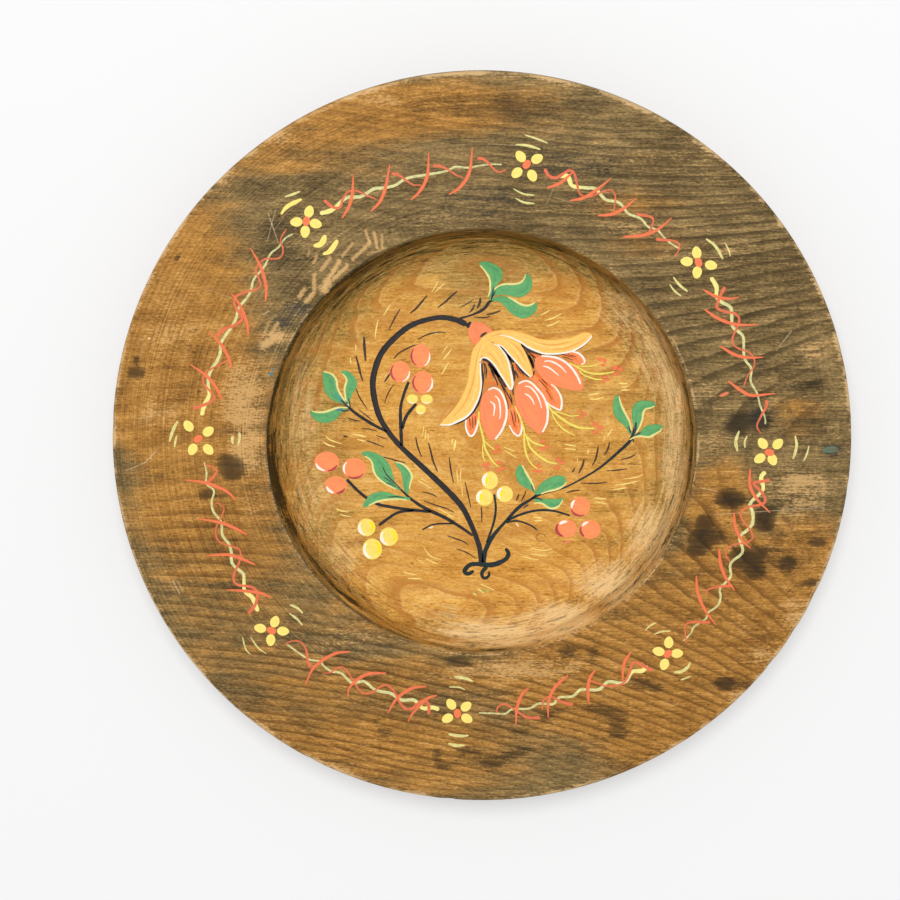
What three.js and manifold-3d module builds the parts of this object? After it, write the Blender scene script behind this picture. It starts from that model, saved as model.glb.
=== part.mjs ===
// A turned wooden plate with a broad flat rim and a sunk well, painted by hand with a garland
// round the rim and a spray of leaves, berries and a hanging bell flower in the well.
// Millimetres, +Z up. The plate lies on its foot, painted face up. The origin is at the bottom
// centre of the foot, +X runs along the grain to the painting's right and +Y to its top.

import * as THREE from 'three';
import { mergeVertices } from 'three/addons/utils/BufferGeometryUtils.js';
import Module from 'manifold-3d';

const wasm = await Module();
wasm.setup();

// Turned board, seen in half section.
const plateDiameter = 228;
const plateHeight = 22;
const rimThickness = 8.5;
const upperEdgeChamfer = 0.8;
const lowerEdgeRound = 2;
const wellDiameter = 132.8; // across the lip, where the flat rim ends
const wellDepth = 13.5;
const lipRound = 0.7;
const wallLean = 2.2; // how far the steep wall leans in below the lip
const coveWidth = 15.5; // the hollow curve between wall and flat floor
const coveRise = 6.4;
const footDiameter = 112;
const footWidth = 12;
const footHollow = 1.5;
const flareWidth = 16; // from the foot out to the underside of the rim
const undersideRise = 1.5; // the rim's underside climbs this much to the edge
const turningFacets = 64;
const coveSteps = 5;
const flareSteps = 5;
const lipSteps = 2;

// Paint. A later coat is thicker than an earlier one, so that it can run over it.
const firstCoat = 0.2;
const secondCoat = 0.35;
const thirdCoat = 0.5;
const coveClearance = 0.03; // under a coat where it climbs the hollow curve
const vineWidth = 1;
const tendrilWidth = 0.75;
const crossWidth = 1.05;
const heartRadius = 1.4;
const petalWidth = 3.3;
const leafJointRadius = 0.8; // the dab in which the leaves of a sprig meet

// The painting's places were measured on a plate with these sizes, and follow the real ones.
const measuredLipRadius = 66.4;
const measuredRimRadius = 113.2;
const measuredWallFoot = 63.5;

const plateRadius = plateDiameter / 2;
const lipRadius = wellDiameter / 2;
const rimRadius = plateRadius - upperEdgeChamfer;
const wallTopRadius = lipRadius - lipRound;
const wallFootRadius = wallTopRadius - wallLean;
const floorRadius = wallFootRadius - coveWidth;
const floorHeight = plateHeight - wellDepth;
const rimUnderside = plateHeight - rimThickness;
const footRadius = footDiameter / 2;

// Places on the rim are [degrees from +X, radius], and in the well [x, y].
const rimStretch = (rimRadius - lipRadius) / (measuredRimRadius - measuredLipRadius);
const wellStretch = wallFootRadius / measuredWallFoot;

function onRim([degrees, radius]) {
  const reach = lipRadius + (radius - measuredLipRadius) * rimStretch;
  const angle = THREE.MathUtils.degToRad(degrees);
  return new THREE.Vector2(reach * Math.cos(angle), reach * Math.sin(angle));
}

function inWell([x, y]) {
  return new THREE.Vector2(x * wellStretch, y * wellStretch);
}

// Solids and their joins.

function solidFrom(geometry) {
  const bare = new THREE.BufferGeometry();
  bare.setAttribute('position', geometry.getAttribute('position'));
  bare.setIndex(geometry.getIndex());
  const merged = mergeVertices(bare, 1e-5);
  const corners = merged.getIndex().array;
  const kept = [];
  for (let i = 0; i < corners.length; i += 3) {
    const [a, b, c] = [corners[i], corners[i + 1], corners[i + 2]];
    if (a !== b && b !== c && c !== a) kept.push(a, b, c);
  }
  const vertProperties = new Float32Array(merged.getAttribute('position').array);
  return new wasm.Manifold(new wasm.Mesh({ numProp: 3, vertProperties, triVerts: new Uint32Array(kept) }));
}

function geometryFrom(solid) {
  const mesh = solid.getMesh();
  const geometry = new THREE.BufferGeometry();
  geometry.setAttribute('position', new THREE.BufferAttribute(mesh.vertProperties, 3));
  geometry.setIndex(new THREE.BufferAttribute(mesh.triVerts, 1));
  geometry.computeVertexNormals();
  return geometry;
}

function joined(solids) {
  return solids.reduce((all, next) => all.add(next));
}

// Lathe geometry turns about Y: this stands it up on Z exactly, so flat faces stay level.
const standUp = new THREE.Matrix4().set(1, 0, 0, 0, 0, 0, -1, 0, 0, 1, 0, 0, 0, 0, 0, 1);

function turned(profile) {
  const geometry = new THREE.LatheGeometry(profile, turningFacets);
  geometry.applyMatrix4(standUp);
  return solidFrom(geometry);
}

function piece(name, solid, color, roughness) {
  const material = new THREE.MeshStandardMaterial({ color, roughness, metalness: 0 });
  const mesh = new THREE.Mesh(geometryFrom(solid), material);
  mesh.name = name;
  return mesh;
}

// The board's half section, from the hollow under the foot out and back over the top.

function covePoint(share) {
  return new THREE.Vector2(floorRadius + coveWidth * share, coveRise * share * share);
}

function boardProfile() {
  const points = [];
  const add = (radius, height) => points.push(new THREE.Vector2(radius, height));
  add(0, footHollow);
  add(footRadius - footWidth - footHollow, footHollow);
  add(footRadius - footWidth, 0);
  add(footRadius, 0);
  const flareTop = rimUnderside - undersideRise;
  for (let i = 1; i <= flareSteps; i++) {
    const share = i / flareSteps;
    const swell = (1 - Math.cos(Math.PI * share)) / 2; // a slow start, a steep middle, a slow end
    add(footRadius + flareWidth * share, flareTop * swell);
  }
  add(plateRadius - lowerEdgeRound, rimUnderside);
  add(plateRadius - lowerEdgeRound * 0.3, rimUnderside + lowerEdgeRound * 0.3);
  add(plateRadius, rimUnderside + lowerEdgeRound);
  add(plateRadius, plateHeight - upperEdgeChamfer);
  add(rimRadius, plateHeight);
  for (let i = 0; i <= lipSteps; i++) {
    const angle = (Math.PI / 2) * (i / lipSteps);
    add(lipRadius - lipRound * Math.sin(angle), plateHeight - lipRound * (1 - Math.cos(angle)));
  }
  for (let i = coveSteps; i >= 0; i--) {
    const { x, y } = covePoint(i / coveSteps);
    add(x, floorHeight + y);
  }
  add(0, floorHeight);
  return points;
}

// A skin over the floor and the hollow curve, as deep as a coat, with the floor at height 0.
function coatSkin(depth) {
  const under = [new THREE.Vector2(0, 0)];
  for (let i = 0; i <= coveSteps; i++) {
    const point = covePoint(i / coveSteps);
    if (i > 0) point.y += coveClearance;
    under.push(point);
  }
  const over = under.map((point) => new THREE.Vector2(point.x, point.y + depth)).reverse();
  return turned([...under, ...over]);
}

// Films of paint. An outline is cut from smooth runs that meet at corners.

function smoothRun(points, perSpan) {
  if (points.length < 3) return points;
  const curve = new THREE.SplineCurve(points);
  return curve.getPoints(Math.round((points.length - 1) * perSpan));
}

function outlineFrom(runs, place, perSpan = 1.2) {
  const outline = [];
  for (const run of runs) {
    const points = smoothRun(run.map(place), perSpan);
    outline.push(...points.slice(0, -1));
  }
  return outline;
}

function film(outline, depth) {
  const shape = new THREE.Shape(outline);
  return solidFrom(new THREE.ExtrudeGeometry(shape, { depth, bevelEnabled: false }));
}

// One brush stroke: a path, with its width running evenly through the given widths.
function stroke(path, widths, place, depth, perSpan = 1.2) {
  const middle = smoothRun(path.map(place), perSpan);
  const left = [];
  const right = [];
  middle.forEach((point, i) => {
    const before = middle[Math.max(i - 1, 0)];
    const after = middle[Math.min(i + 1, middle.length - 1)];
    const across = after.clone().sub(before).normalize();
    const along = (i / (middle.length - 1)) * (widths.length - 1);
    const step = Math.min(Math.floor(along), widths.length - 2);
    const half = THREE.MathUtils.lerp(widths[step], widths[step + 1], along - step) / 2;
    left.push(new THREE.Vector2(point.x - across.y * half, point.y + across.x * half));
    right.push(new THREE.Vector2(point.x + across.y * half, point.y - across.x * half));
  });
  return film([...left, ...right.reverse()], depth);
}

function oval([x, y], [halfWidth, halfHeight], place, depth, sides = 14) {
  const outline = [];
  for (let i = 0; i < sides; i++) {
    const angle = (2 * Math.PI * i) / sides;
    outline.push(place([x + halfWidth * Math.cos(angle), y + halfHeight * Math.sin(angle)]));
  }
  return film(outline, depth);
}

// Where a film reaches the hollow curve it is bent to it, and it is cut round earlier films.
const skinReach = floorRadius - 0.01;

function laidInWell(flatFilm, depth, earlier) {
  const { min, max } = flatFilm.boundingBox();
  const reach = Math.hypot(Math.max(-min[0], max[0]), Math.max(-min[1], max[1]));
  let solid = flatFilm;
  if (reach > skinReach) {
    const tall = flatFilm.scale([1, 1, (coveRise + depth) / depth + 1]);
    solid = tall.intersect(coatSkin(depth));
  }
  return laid(solid, earlier);
}

function laid(solid, earlier) {
  return earlier.reduce((rest, other) => rest.subtract(other), solid);
}

// The rim garland: eight blossoms, and between each two a vine with coral tendrils.
// A blossom has four petals, each [degrees, radius], round a heart.
const blossomPlaces = [
  { heart: [80.9, 86.9], petals: [[82.3, 89], [79.1, 89.1], [82.6, 84], [79.4, 83.9]] },
  { heart: [40.2, 86.7], petals: [[41.9, 88.2], [38.2, 89.1], [41.9, 84.2], [38.8, 84.5]] },
  { heart: [-1.8, 88.8], petals: [[-0.1, 91.3], [-3.2, 89.9], [0, 86.7], [-3.1, 86]] },
  { heart: [-48.8, 88.3], petals: [[-47.4, 90.1], [-50.7, 90.2], [-47.1, 85.8], [-49.9, 85.9]] },
  { heart: [-95, 86], petals: [[-93, 87.4], [-96.9, 87.9], [-93.3, 83.6], [-96.5, 83.3]] },
  { heart: [-137.9, 88.3], petals: [[-136.6, 90.5], [-139.7, 90.4], [-136.2, 85.8], [-138.8, 85.6]] },
  { heart: [-180.9, 87.5], petals: [[-178.8, 89.2], [-183.4, 90.5], [-178.7, 84.4], [-182.5, 84.4]] },
  { heart: [-232.1, 86.9], petals: [[-230.5, 88.6], [-233.7, 88.7], [-230.6, 84.7], [-233.3, 84.6]] },
];

const garlandPaths = [
  {
    vine:
      [[73.9, 85.5], [72.3, 86.3], [70.8, 84], [68, 84.9], [66.1, 85.7], [63.3, 84.1], [60.5, 85.2],
        [57.8, 83.8], [55, 84.6], [52.8, 83.9], [50.8, 84.9], [48, 84.4], [44.5, 85.3]],
    tendrils: [
      [[77.2, 86.7], [76, 84.8], [74.3, 85], [72.5, 88], [71.3, 87.8], [70, 85], [68.6, 82.4],
        [66.4, 83], [64.5, 86], [63.1, 87.4], [61.8, 86.2], [60.8, 82.8], [60.3, 81.8]],
      [[56.3, 85], [53.3, 86.9], [52.3, 85], [51.9, 82.2], [51.3, 81.8]],
      [[49.9, 82.4], [47.5, 85], [45.9, 86.2], [44.8, 84.8], [44.4, 82.2]],
    ],
    crosses: [
      [[75.8, 81.1], [73.3, 83.8], [71.4, 88.5]],
      [[70.2, 79.5], [67.5, 82], [65.5, 86.5], [64.2, 90.7]],
      [[63.3, 78.6], [60.5, 81.3], [58.9, 85.1], [58.1, 89]],
      [[56, 76.9], [52.5, 81], [50.8, 85.5], [50.2, 90.7]],
    ],
  },
  {
    vine:
      [[36.3, 86.9], [34, 86.6], [32.3, 85], [30.8, 85.5], [28.9, 87.1], [27, 86], [25.3, 85],
        [23.5, 86.2], [22.2, 86.7], [18.3, 84.9], [15.7, 86], [13.2, 84.9], [10.4, 86.1],
        [7.9, 86.5], [5.3, 87.6], [3.8, 87.6]],
    tendrils: [
      [[33.1, 88.9], [32.2, 86.5], [31, 84.2], [30.2, 83.4], [28.7, 85], [27.4, 87.4], [26, 87.8],
        [24.6, 86], [23.3, 83.9], [21.9, 83], [20.5, 84.2], [19, 86.8], [17.5, 87.6], [16, 87],
        [14.5, 84.5], [12.4, 82.4]],
      [[8.8, 88.7], [7.5, 88.3], [5.5, 86.3], [3.8, 85], [2.7, 85.5], [2, 86.4]],
    ],
    crosses: [
      [[35.1, 82.8], [32.3, 85], [30.6, 88], [29.9, 91]],
      [[31.5, 79.8], [28, 82.3], [25.3, 86.3], [23.5, 92.4]],
      [[22.5, 79.1], [19.5, 82.5], [18, 86.3], [17.2, 90.7]],
      [[14.5, 78.1], [11.8, 81.3], [10.2, 84.5], [9.8, 91.7]],
    ],
  },
  {
    vine:
      [[-5.7, 88.2], [-7, 87], [-9.1, 88.2], [-10.5, 87.3], [-12.8, 85.2], [-14.5, 86.7],
        [-16.7, 87.6], [-18.5, 86.5], [-20.3, 85.2], [-22.8, 87.9], [-26, 86], [-28.5, 88],
        [-31.6, 87], [-33, 88.7], [-34.9, 89.5], [-37, 88.4], [-38.4, 89.1], [-41.2, 87.9],
        [-42.5, 88.6], [-44.8, 88.6]],
    tendrils: [
      [[-7.3, 89.9], [-8, 86.5], [-8.5, 85], [-10, 88], [-11.5, 89.6], [-12.5, 88.5], [-13.5, 85],
        [-15, 83.1], [-16.5, 84.2], [-18, 87.5], [-19.5, 89.1], [-21, 87.3], [-22, 84.5],
        [-23.6, 82.8], [-25, 83.8], [-25.8, 86]],
      [[-29.8, 90], [-31.3, 86.7], [-32.7, 84.5], [-33.8, 84], [-34.2, 85.5]],
      [[-38.3, 91], [-39.3, 89], [-40.8, 86.3], [-42, 85.5], [-43.2, 87], [-44.7, 90]],
    ],
    crosses: [
      [[-5.4, 83.3], [-9, 84], [-11.5, 86.8], [-13.7, 92]],
      [[-15.4, 81], [-18.5, 83], [-20.5, 86], [-21.6, 89.9]],
      [[-24.1, 80.7], [-27, 83.3], [-29.2, 87], [-30.5, 91.5]],
      [[-31.9, 78.6], [-34.9, 82], [-37, 87], [-38.1, 93]],
    ],
  },
  {
    vine:
      [[-53.5, 87.5], [-55.1, 87.7], [-56.8, 86.2], [-58.5, 87.5], [-60, 87.7], [-62.3, 85.2],
        [-64.6, 86.2], [-66.7, 85], [-68.4, 83.9], [-70.4, 85.1], [-73.2, 84.1], [-74.7, 85.7],
        [-76.5, 84.9], [-77.9, 84.4], [-79.9, 85.4], [-83.5, 84.9], [-85, 86.1], [-87.2, 85.8],
        [-90.6, 85.5]],
    tendrils: [
      [[-53.4, 89.7], [-54.5, 86], [-55.7, 84], [-57.6, 86.2], [-60, 87.9], [-63, 86.2],
        [-64.5, 84], [-65.8, 82.6], [-66.9, 84], [-67.8, 88]],
      [[-70.8, 87.7], [-72.7, 86], [-74.3, 83.7], [-75.4, 83], [-76.6, 83.7], [-77.3, 86.7]],
      [[-78, 89], [-80.6, 88.2], [-82, 86.5], [-83.4, 84.5], [-85.1, 83], [-86.4, 83.7],
        [-86.9, 86]],
    ],
    crosses: [
      [[-54.6, 80.7], [-57, 82.2], [-58.7, 85], [-59.6, 87.5]],
      [[-63.6, 80], [-65.5, 81.7], [-66.9, 85], [-67.8, 89.3]],
      [[-69.7, 78.2], [-73.3, 80.5], [-75.6, 84.5], [-76.5, 89.7]],
      [[-79.1, 79], [-80.6, 80], [-82.4, 84.5], [-83.1, 90.2]],
    ],
  },
  {
    vine:
      [[-98.8, 85.5], [-100.4, 85.2], [-102.3, 86], [-104.5, 84.1], [-107, 85.2], [-109.5, 84.2],
        [-111.4, 84.6], [-113.3, 84.9], [-116, 83.9], [-118, 86], [-121, 85], [-123, 86.1],
        [-124.9, 86], [-126.2, 85.5], [-128.1, 87], [-130.9, 87.5], [-133.7, 87.9]],
    tendrils: [
      [[-100.8, 87.7], [-101.3, 84.5], [-102.4, 83.4], [-103.7, 85.2], [-104.3, 86.7],
        [-105.7, 87.5], [-107.3, 86], [-108.9, 83.5], [-110.9, 82.1], [-112.4, 83.5], [-113.3, 86],
        [-115, 87.4], [-116.7, 86.5], [-118.6, 84.7], [-121, 83], [-122.3, 84], [-123, 86.5],
        [-124.3, 88.3]],
      [[-126.8, 89], [-128.4, 87.5], [-129.7, 85.5], [-131.5, 84.4], [-133.1, 85.5],
        [-134.1, 88.2]],
    ],
    crosses: [
      [[-99.8, 81], [-102, 83], [-104, 88], [-104.6, 91.5]],
      [[-102.6, 78.9], [-105.8, 80.8], [-108.1, 85.2], [-108.9, 90.7]],
      [[-112.2, 78.6], [-116.1, 81.5], [-118, 87], [-117.5, 91]],
      [[-121.8, 77.5], [-124.6, 81], [-126.4, 88], [-125.7, 94.5]],
    ],
  },
  {
    vine:
      [[-142.6, 87.6], [-145.6, 86.4], [-147.8, 87.1], [-150.7, 84.8], [-152.3, 85.5],
        [-154.2, 86.2], [-156.2, 84.9], [-158, 84.6], [-160.3, 85.4], [-163, 84.4], [-165.5, 85.8],
        [-167.7, 85.5], [-169.8, 84.1], [-171.5, 86], [-174, 85.5], [-176.2, 85.9]],
    tendrils: [
      [[-143.5, 90.5], [-144.1, 87], [-145.6, 84.5], [-147, 84.2], [-148.2, 85.5], [-149.5, 88],
        [-150.7, 88.4], [-152, 87], [-153.6, 84], [-155.7, 82.2], [-157.2, 83.8], [-158.6, 86.4],
        [-160.2, 87.4], [-162.1, 86.5], [-163.6, 84.5], [-165.5, 82.4], [-166.8, 83.4],
        [-167.2, 84.7]],
      [[-171.7, 86], [-172.8, 83.5], [-174, 82.3], [-175.1, 84], [-175.6, 86]],
    ],
    crosses: [
      [[-143.3, 81.5], [-145.7, 83.7], [-148.1, 88], [-149.8, 91.9]],
      [[-151.4, 80], [-154.2, 83.2], [-156.1, 86.5], [-157.5, 92.5]],
      [[-158.4, 78.1], [-161.1, 81.5], [-163, 85], [-164.9, 91]],
      [[-166.8, 78.1], [-169.3, 80.5], [-171.8, 86.5], [-172.9, 92.7]],
    ],
  },
  {
    vine:
      [[-185.7, 86.7], [-187.9, 86.2], [-190.1, 85.2], [-192.3, 86.1], [-194.8, 86.4], [-197, 85.4],
        [-199.2, 85], [-201.5, 85.8], [-205.2, 84.8], [-207.1, 84.6], [-209.6, 85.4],
        [-212.1, 84.8], [-214, 85], [-216.2, 86.2], [-219.7, 86], [-222.2, 87.1], [-224.4, 86.7],
        [-226.6, 87.2], [-228.5, 86.5]],
    tendrils: [
      [[-186.9, 89.7], [-187.9, 86.5], [-189.5, 83.5], [-190.7, 84.5], [-192.3, 87.5], [-193.9, 88],
        [-195.4, 86.5], [-197, 84], [-198.3, 82.2]],
      [[-202.2, 87.9], [-204.1, 86.6], [-205.8, 84.2], [-207.7, 82.9], [-208.6, 84.5], [-209.6, 87],
        [-211, 88], [-212.7, 86.5], [-214, 84.7], [-215.7, 83.3], [-216.8, 85], [-217.8, 87.2],
        [-219.3, 87.9], [-220.9, 87.2], [-222.2, 85], [-223.3, 84.1], [-224.7, 85.2], [-225.9, 88],
        [-228.2, 89]],
    ],
    crosses: [
      [[-189.6, 81], [-192, 83.5], [-193.9, 87], [-195.4, 93]],
      [[-196.8, 80.1], [-199.2, 82.5], [-201.4, 86.5], [-202.5, 90.7]],
      [[-205, 79], [-207.4, 81], [-210.2, 85.8], [-211.3, 89.7]],
      [[-213.5, 79.3], [-216.5, 82], [-219.1, 87.1], [-220.6, 93]],
    ],
  },
  {
    vine:
      [[124.8, 86.4], [123.3, 85.5], [121.8, 85.2], [119.6, 86], [118, 86], [116.1, 84.6],
        [114.5, 84.6], [112.5, 85], [110.8, 84.2], [108.3, 83.7], [106.4, 84.5], [104.5, 84.7],
        [102, 84.4], [97.2, 84.5], [95.3, 85.5], [92.8, 84.9], [90.6, 85.4], [88.1, 85.9],
        [85.7, 86]],
    tendrils: [
      [[122.6, 89.1], [121.9, 86], [120.7, 84.6], [119.3, 86.2], [117.8, 87.5], [116.1, 86.7],
        [114.5, 84], [113, 81.7]],
      [[108.3, 87.4], [107, 86.5], [105.7, 84], [104.5, 82.2], [102.9, 81.7]],
      [[99.9, 86.6], [98.2, 86.2], [96.6, 84.5], [95, 82.7], [93.8, 82.2]],
      [[90.9, 87.7], [89.7, 87.5], [88.4, 86], [87.2, 84.2], [86.1, 83.7], [84.8, 84.7]],
    ],
    crosses: [
      [[121.5, 81.4], [118.9, 83.5], [117, 86.5], [115.2, 91.5]],
      [[115.3, 79.1], [112.5, 80.7], [110.1, 84.5], [107.9, 90.5]],
      [[106, 78], [103.5, 80], [101.3, 84], [100.1, 91]],
      [[97.4, 77.3], [94.7, 79.2], [92.5, 83.5], [91.7, 91.2]],
    ],
  },
];

function blossom({ heart, petals }, number) {
  const middle = onRim(heart);
  const petalFilms = petals.map((place) => {
    const petal = onRim(place);
    const outward = petal.clone().sub(middle);
    const tip = middle.clone().add(outward.clone().setLength(outward.length() + petalWidth / 2));
    const side = new THREE.Vector2(-outward.y, outward.x).setLength(petalWidth / 2);
    const waist = side.clone().multiplyScalar(0.35);
    const back = middle.clone().sub(outward.clone().setLength(0.3));
    const nearSide = [back.clone().add(waist), petal.clone().add(side)];
    const farSide = [petal.clone().sub(side), back.clone().sub(waist)];
    return film(smoothRun([...nearSide, tip, ...farSide], 1.5), firstCoat);
  });
  const flower = joined(petalFilms);
  const dot = oval([middle.x, middle.y], [heartRadius, heartRadius], toPoint, secondCoat, 10);
  const core = laid(dot, [flower]);
  return [
    piece(`blossom_${number}_petals`, flower, 0xf6dc7c, 0.55),
    piece(`blossom_${number}_heart`, core, 0xe8553f, 0.55),
    joined([flower, core]),
  ];
}

function toPoint([x, y]) {
  return new THREE.Vector2(x, y);
}

function garland({ vine, tendrils, crosses }, number, blossomSolids) {
  const films = [stroke(vine, [vineWidth, vineWidth * 0.7], onRim, firstCoat, 1)];
  const tendrilWidths = [tendrilWidth * 1.3, tendrilWidth, tendrilWidth];
  const crossWidths = [crossWidth * 0.5, crossWidth, crossWidth * 0.4];
  for (const path of tendrils) films.push(stroke(path, tendrilWidths, onRim, firstCoat, 1));
  for (const path of crosses) films.push(stroke(path, crossWidths, onRim, firstCoat, 1));
  return piece(`garland_${number}`, laid(joined(films), blossomSolids), 0xf08a62, 0.55);
}

function rimPainting() {
  const group = new THREE.Group();
  group.position.z = plateHeight;
  const blossomSolids = [];
  blossomPlaces.forEach((places, i) => {
    const [flower, core, whole] = blossom(places, i + 1);
    group.add(flower, core);
    blossomSolids.push(whole);
  });
  garlandPaths.forEach((paths, i) => {
    const last = garlandPaths.length - 1;
    const ends = [blossomSolids[i], blossomSolids[i === last ? 0 : i + 1]];
    group.add(garland(paths, i + 1, ends));
  });
  return group;
}

// The spray in the well. Each stem stroke has its path and its widths.
const stemStrokes = [
  [[[0.2, -40.4], [-0.3, -36], [-1.2, -33.4], [-3.1, -28.4], [-6.2, -22.3], [-10.9, -17],
      [-17.1, -11], [-24.9, -3.6], [-29.6, 2.1], [-32.4, 7.6], [-33.9, 15], [-33.5, 20],
      [-31.3, 26.1], [-26.8, 31.3], [-21.3, 35.3], [-13.7, 37.4], [-8.1, 36.8], [-4.2, 35]],
    [1.5, 1.6, 2, 1.9, 1.7, 1.8, 2, 2, 1.9, 1.6, 2]],
  [[[0.4, -39.5], [1.1, -36.2], [3.6, -31.8], [8, -26.6], [11.9, -22.4], [15.5, -20],
      [18.3, -17.6]], [1.5, 1.5, 0.8, 1.2, 0.5]],
  [[[15.5, -20], [19, -18.3], [25.9, -16.3], [32.9, -12.6], [37.6, -9.5], [42.9, -4.9],
      [46.8, -0.8], [48.4, 4.8]], [0.6, 0.5, 0.6, 0.8, 1.1, 1]],
  [[[8, -26.8], [11.9, -25], [16.9, -23.6], [22.3, -23.6], [27.9, -25.2]], [0.9, 0.8, 0.8, 0.6]],
  [[[7.5, -27.4], [11.3, -26.9], [15.2, -28.2], [17.6, -29.8]], [0.7, 0.6, 0.5]],
  [[[1.6, -34], [3.8, -27.6], [4.5, -22.9], [4, -18.2]], [0.7, 0.8, 0.7]],
  [[[-2.6, -31.7], [-6.4, -29], [-11.4, -25.9], [-17.8, -22.8], [-21.2, -20.4], [-23.6, -18.3]],
    [0.8, 1.1, 1.2, 1]],
  [[[-15.5, -24], [-22.7, -23.3], [-28.2, -22.5], [-33.2, -21.3], [-37.7, -18.3], [-42.4, -13.6]],
    [1, 1, 1]],
  [[[-21, -23.5], [-26.6, -24.4], [-32.4, -28.4]], [0.9, 0.9, 1]],
  [[[-8.5, -27.7], [-14.8, -28], [-18.8, -29.8]], [0.6, 0.6, 0.5]],
  [[[-29.4, 1.4], [-33.8, 3.7], [-38.2, 6.5], [-41.2, 8.9], [-44, 11.7]], [0.8, 1.1, 1, 0.7]],
  [[[-25, -3.2], [-25.2, 2], [-25.3, 8.7], [-24.3, 13.1], [-22.7, 17.4]], [1.1, 1.2, 0.9, 1]],
  [[[-24.9, 2.2], [-23.5, 6.4], [-20.3, 10.5]], [1, 1.1, 1]],
  [[[-7, 37.1], [-2.6, 38.4], [0.8, 40.2], [3, 42.7], [7.2, 43.3]], [0.7, 0.6, 1.1, 0.9, 0.4]],
];
const footStrokes = [
  [[[7.6, -35.8], [8.6, -37.3], [6.9, -39.7], [3, -41.2], [-0.9, -40.8], [-4.2, -40.9],
      [-5.6, -43.2], [-3.7, -43.9], [-2.6, -43]], [0.7, 1, 1.1, 1.1, 1, 0.9]],
  [[[2, -41.4], [0, -43.7], [0.7, -45.5], [1.9, -45.4], [2.4, -43.2]], [1, 0.9, 0.8]],
];

// Each leaf has two smooth edges, from the sprig's joint to its tip and back.
const leafSprigs = {
  top: {
    joint: [3.2, 43.6],
    leaves: [
      [[[3.4, 43.6], [3.3, 45.6], [5, 47.8], [6.5, 50.4], [5.6, 53.2], [3, 54.6], [-0.8, 54.7]],
        [[-0.8, 54.7], [1, 52.2], [2.5, 49.3], [2.7, 46.3], [2.1, 43.4], [3.4, 43.6]]],
      [[[3.4, 43.6], [4, 46.2], [6.4, 47.6], [10.4, 47.8], [13.1, 49.2], [13.9, 51.3]],
        [[13.9, 51.3], [15.7, 49.3], [15.3, 46], [12.4, 43.9], [8, 44.3], [3.4, 43.6]]],
      [[[2.4, 43.2], [5.4, 44.2], [8.2, 43.9], [11.9, 41.9], [14.6, 41.3], [16.9, 42.5]],
        [[16.9, 42.5], [17.2, 39.9], [14.9, 37.6], [11.4, 37.6], [8.2, 39.8], [5.4, 42.2], [2.4, 43.2]]],
    ],
  },
  left: {
    joint: [-41.9, 9.4],
    leaves: [
      [[[-41.6, 9.4], [-44.3, 10.6], [-47.9, 12.6], [-49.5, 16.6], [-49.6, 20.8]],
        [[-49.6, 20.8], [-46.5, 19.7], [-45, 16], [-43.2, 12.2], [-41.6, 9.4]]],
      [[[-41.6, 9.4], [-42.6, 12.8], [-42.2, 17.4], [-43.9, 20.7]],
        [[-43.9, 20.7], [-40.8, 20.2], [-38.8, 17], [-40.4, 13.4], [-41.6, 9.4]]],
      [[[-41.6, 9.4], [-45.9, 9], [-49.9, 7.8], [-53.4, 8.5]],
        [[-53.4, 8.5], [-52.2, 5.4], [-48.4, 4.3], [-44.8, 6.2], [-42.6, 8.4], [-41.6, 9.4]]],
    ],
  },
  right: {
    joint: [47.4, 0.6],
    leaves: [
      [[[47, 0.6], [45.6, 2], [42.6, 5], [41, 8.7], [42.7, 13.3]],
        [[42.7, 13.3], [43.6, 10], [46, 5.4], [47, 0.6]]],
      [[[47.3, 0.9], [47, 4.6], [47.2, 9.3], [50.4, 11.5], [54.4, 10.2]],
        [[54.4, 10.2], [51.4, 8.8], [50.2, 5.4], [47.3, 0.9]]],
      [[[47.7, 0.3], [50.6, 2.8], [53.4, 4], [56.6, 3.5]],
        [[56.6, 3.5], [54, 0.8], [50.6, 0], [47.7, 0.3]]],
    ],
  },
  lower_left: {
    joint: [-23.5, -18.5],
    leaves: [
      [[[-23.2, -18.8], [-27, -14.6], [-28.8, -9.2], [-32.4, -5.6], [-37.8, -5.2]],
        [[-37.8, -5.2], [-34.6, -8], [-33.4, -12.2], [-29.2, -16], [-23.2, -18.8]]],
      [[[-23.2, -18.8], [-24.8, -14.6], [-25.4, -11.2], [-27.4, -8.4]],
        [[-27.4, -8.4], [-23.8, -9.2], [-21.8, -13], [-23.2, -18.8]]],
      [[[-23.2, -18.8], [-28.4, -18], [-33.2, -17.9], [-37.4, -22.6]],
        [[-37.4, -22.6], [-32.4, -20.7], [-27.4, -20.1], [-23.2, -18.8]]],
    ],
  },
  lower_right: {
    joint: [17.1, -18.5],
    leaves: [
      [[[16.9, -18.5], [14, -16.5], [10.8, -13], [12, -9]],
        [[12, -9], [14.4, -12.4], [16.9, -18.5]]],
      [[[17.2, -18.3], [18.6, -15], [22.4, -12.5], [26.6, -13.6]],
        [[26.6, -13.6], [23.8, -16.6], [17.2, -18.3]]],
      [[[17.1, -18.9], [20.9, -19.8], [25.7, -19.6]],
        [[25.7, -19.6], [22.6, -22.8], [17.1, -18.9]]],
    ],
  },
};

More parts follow.
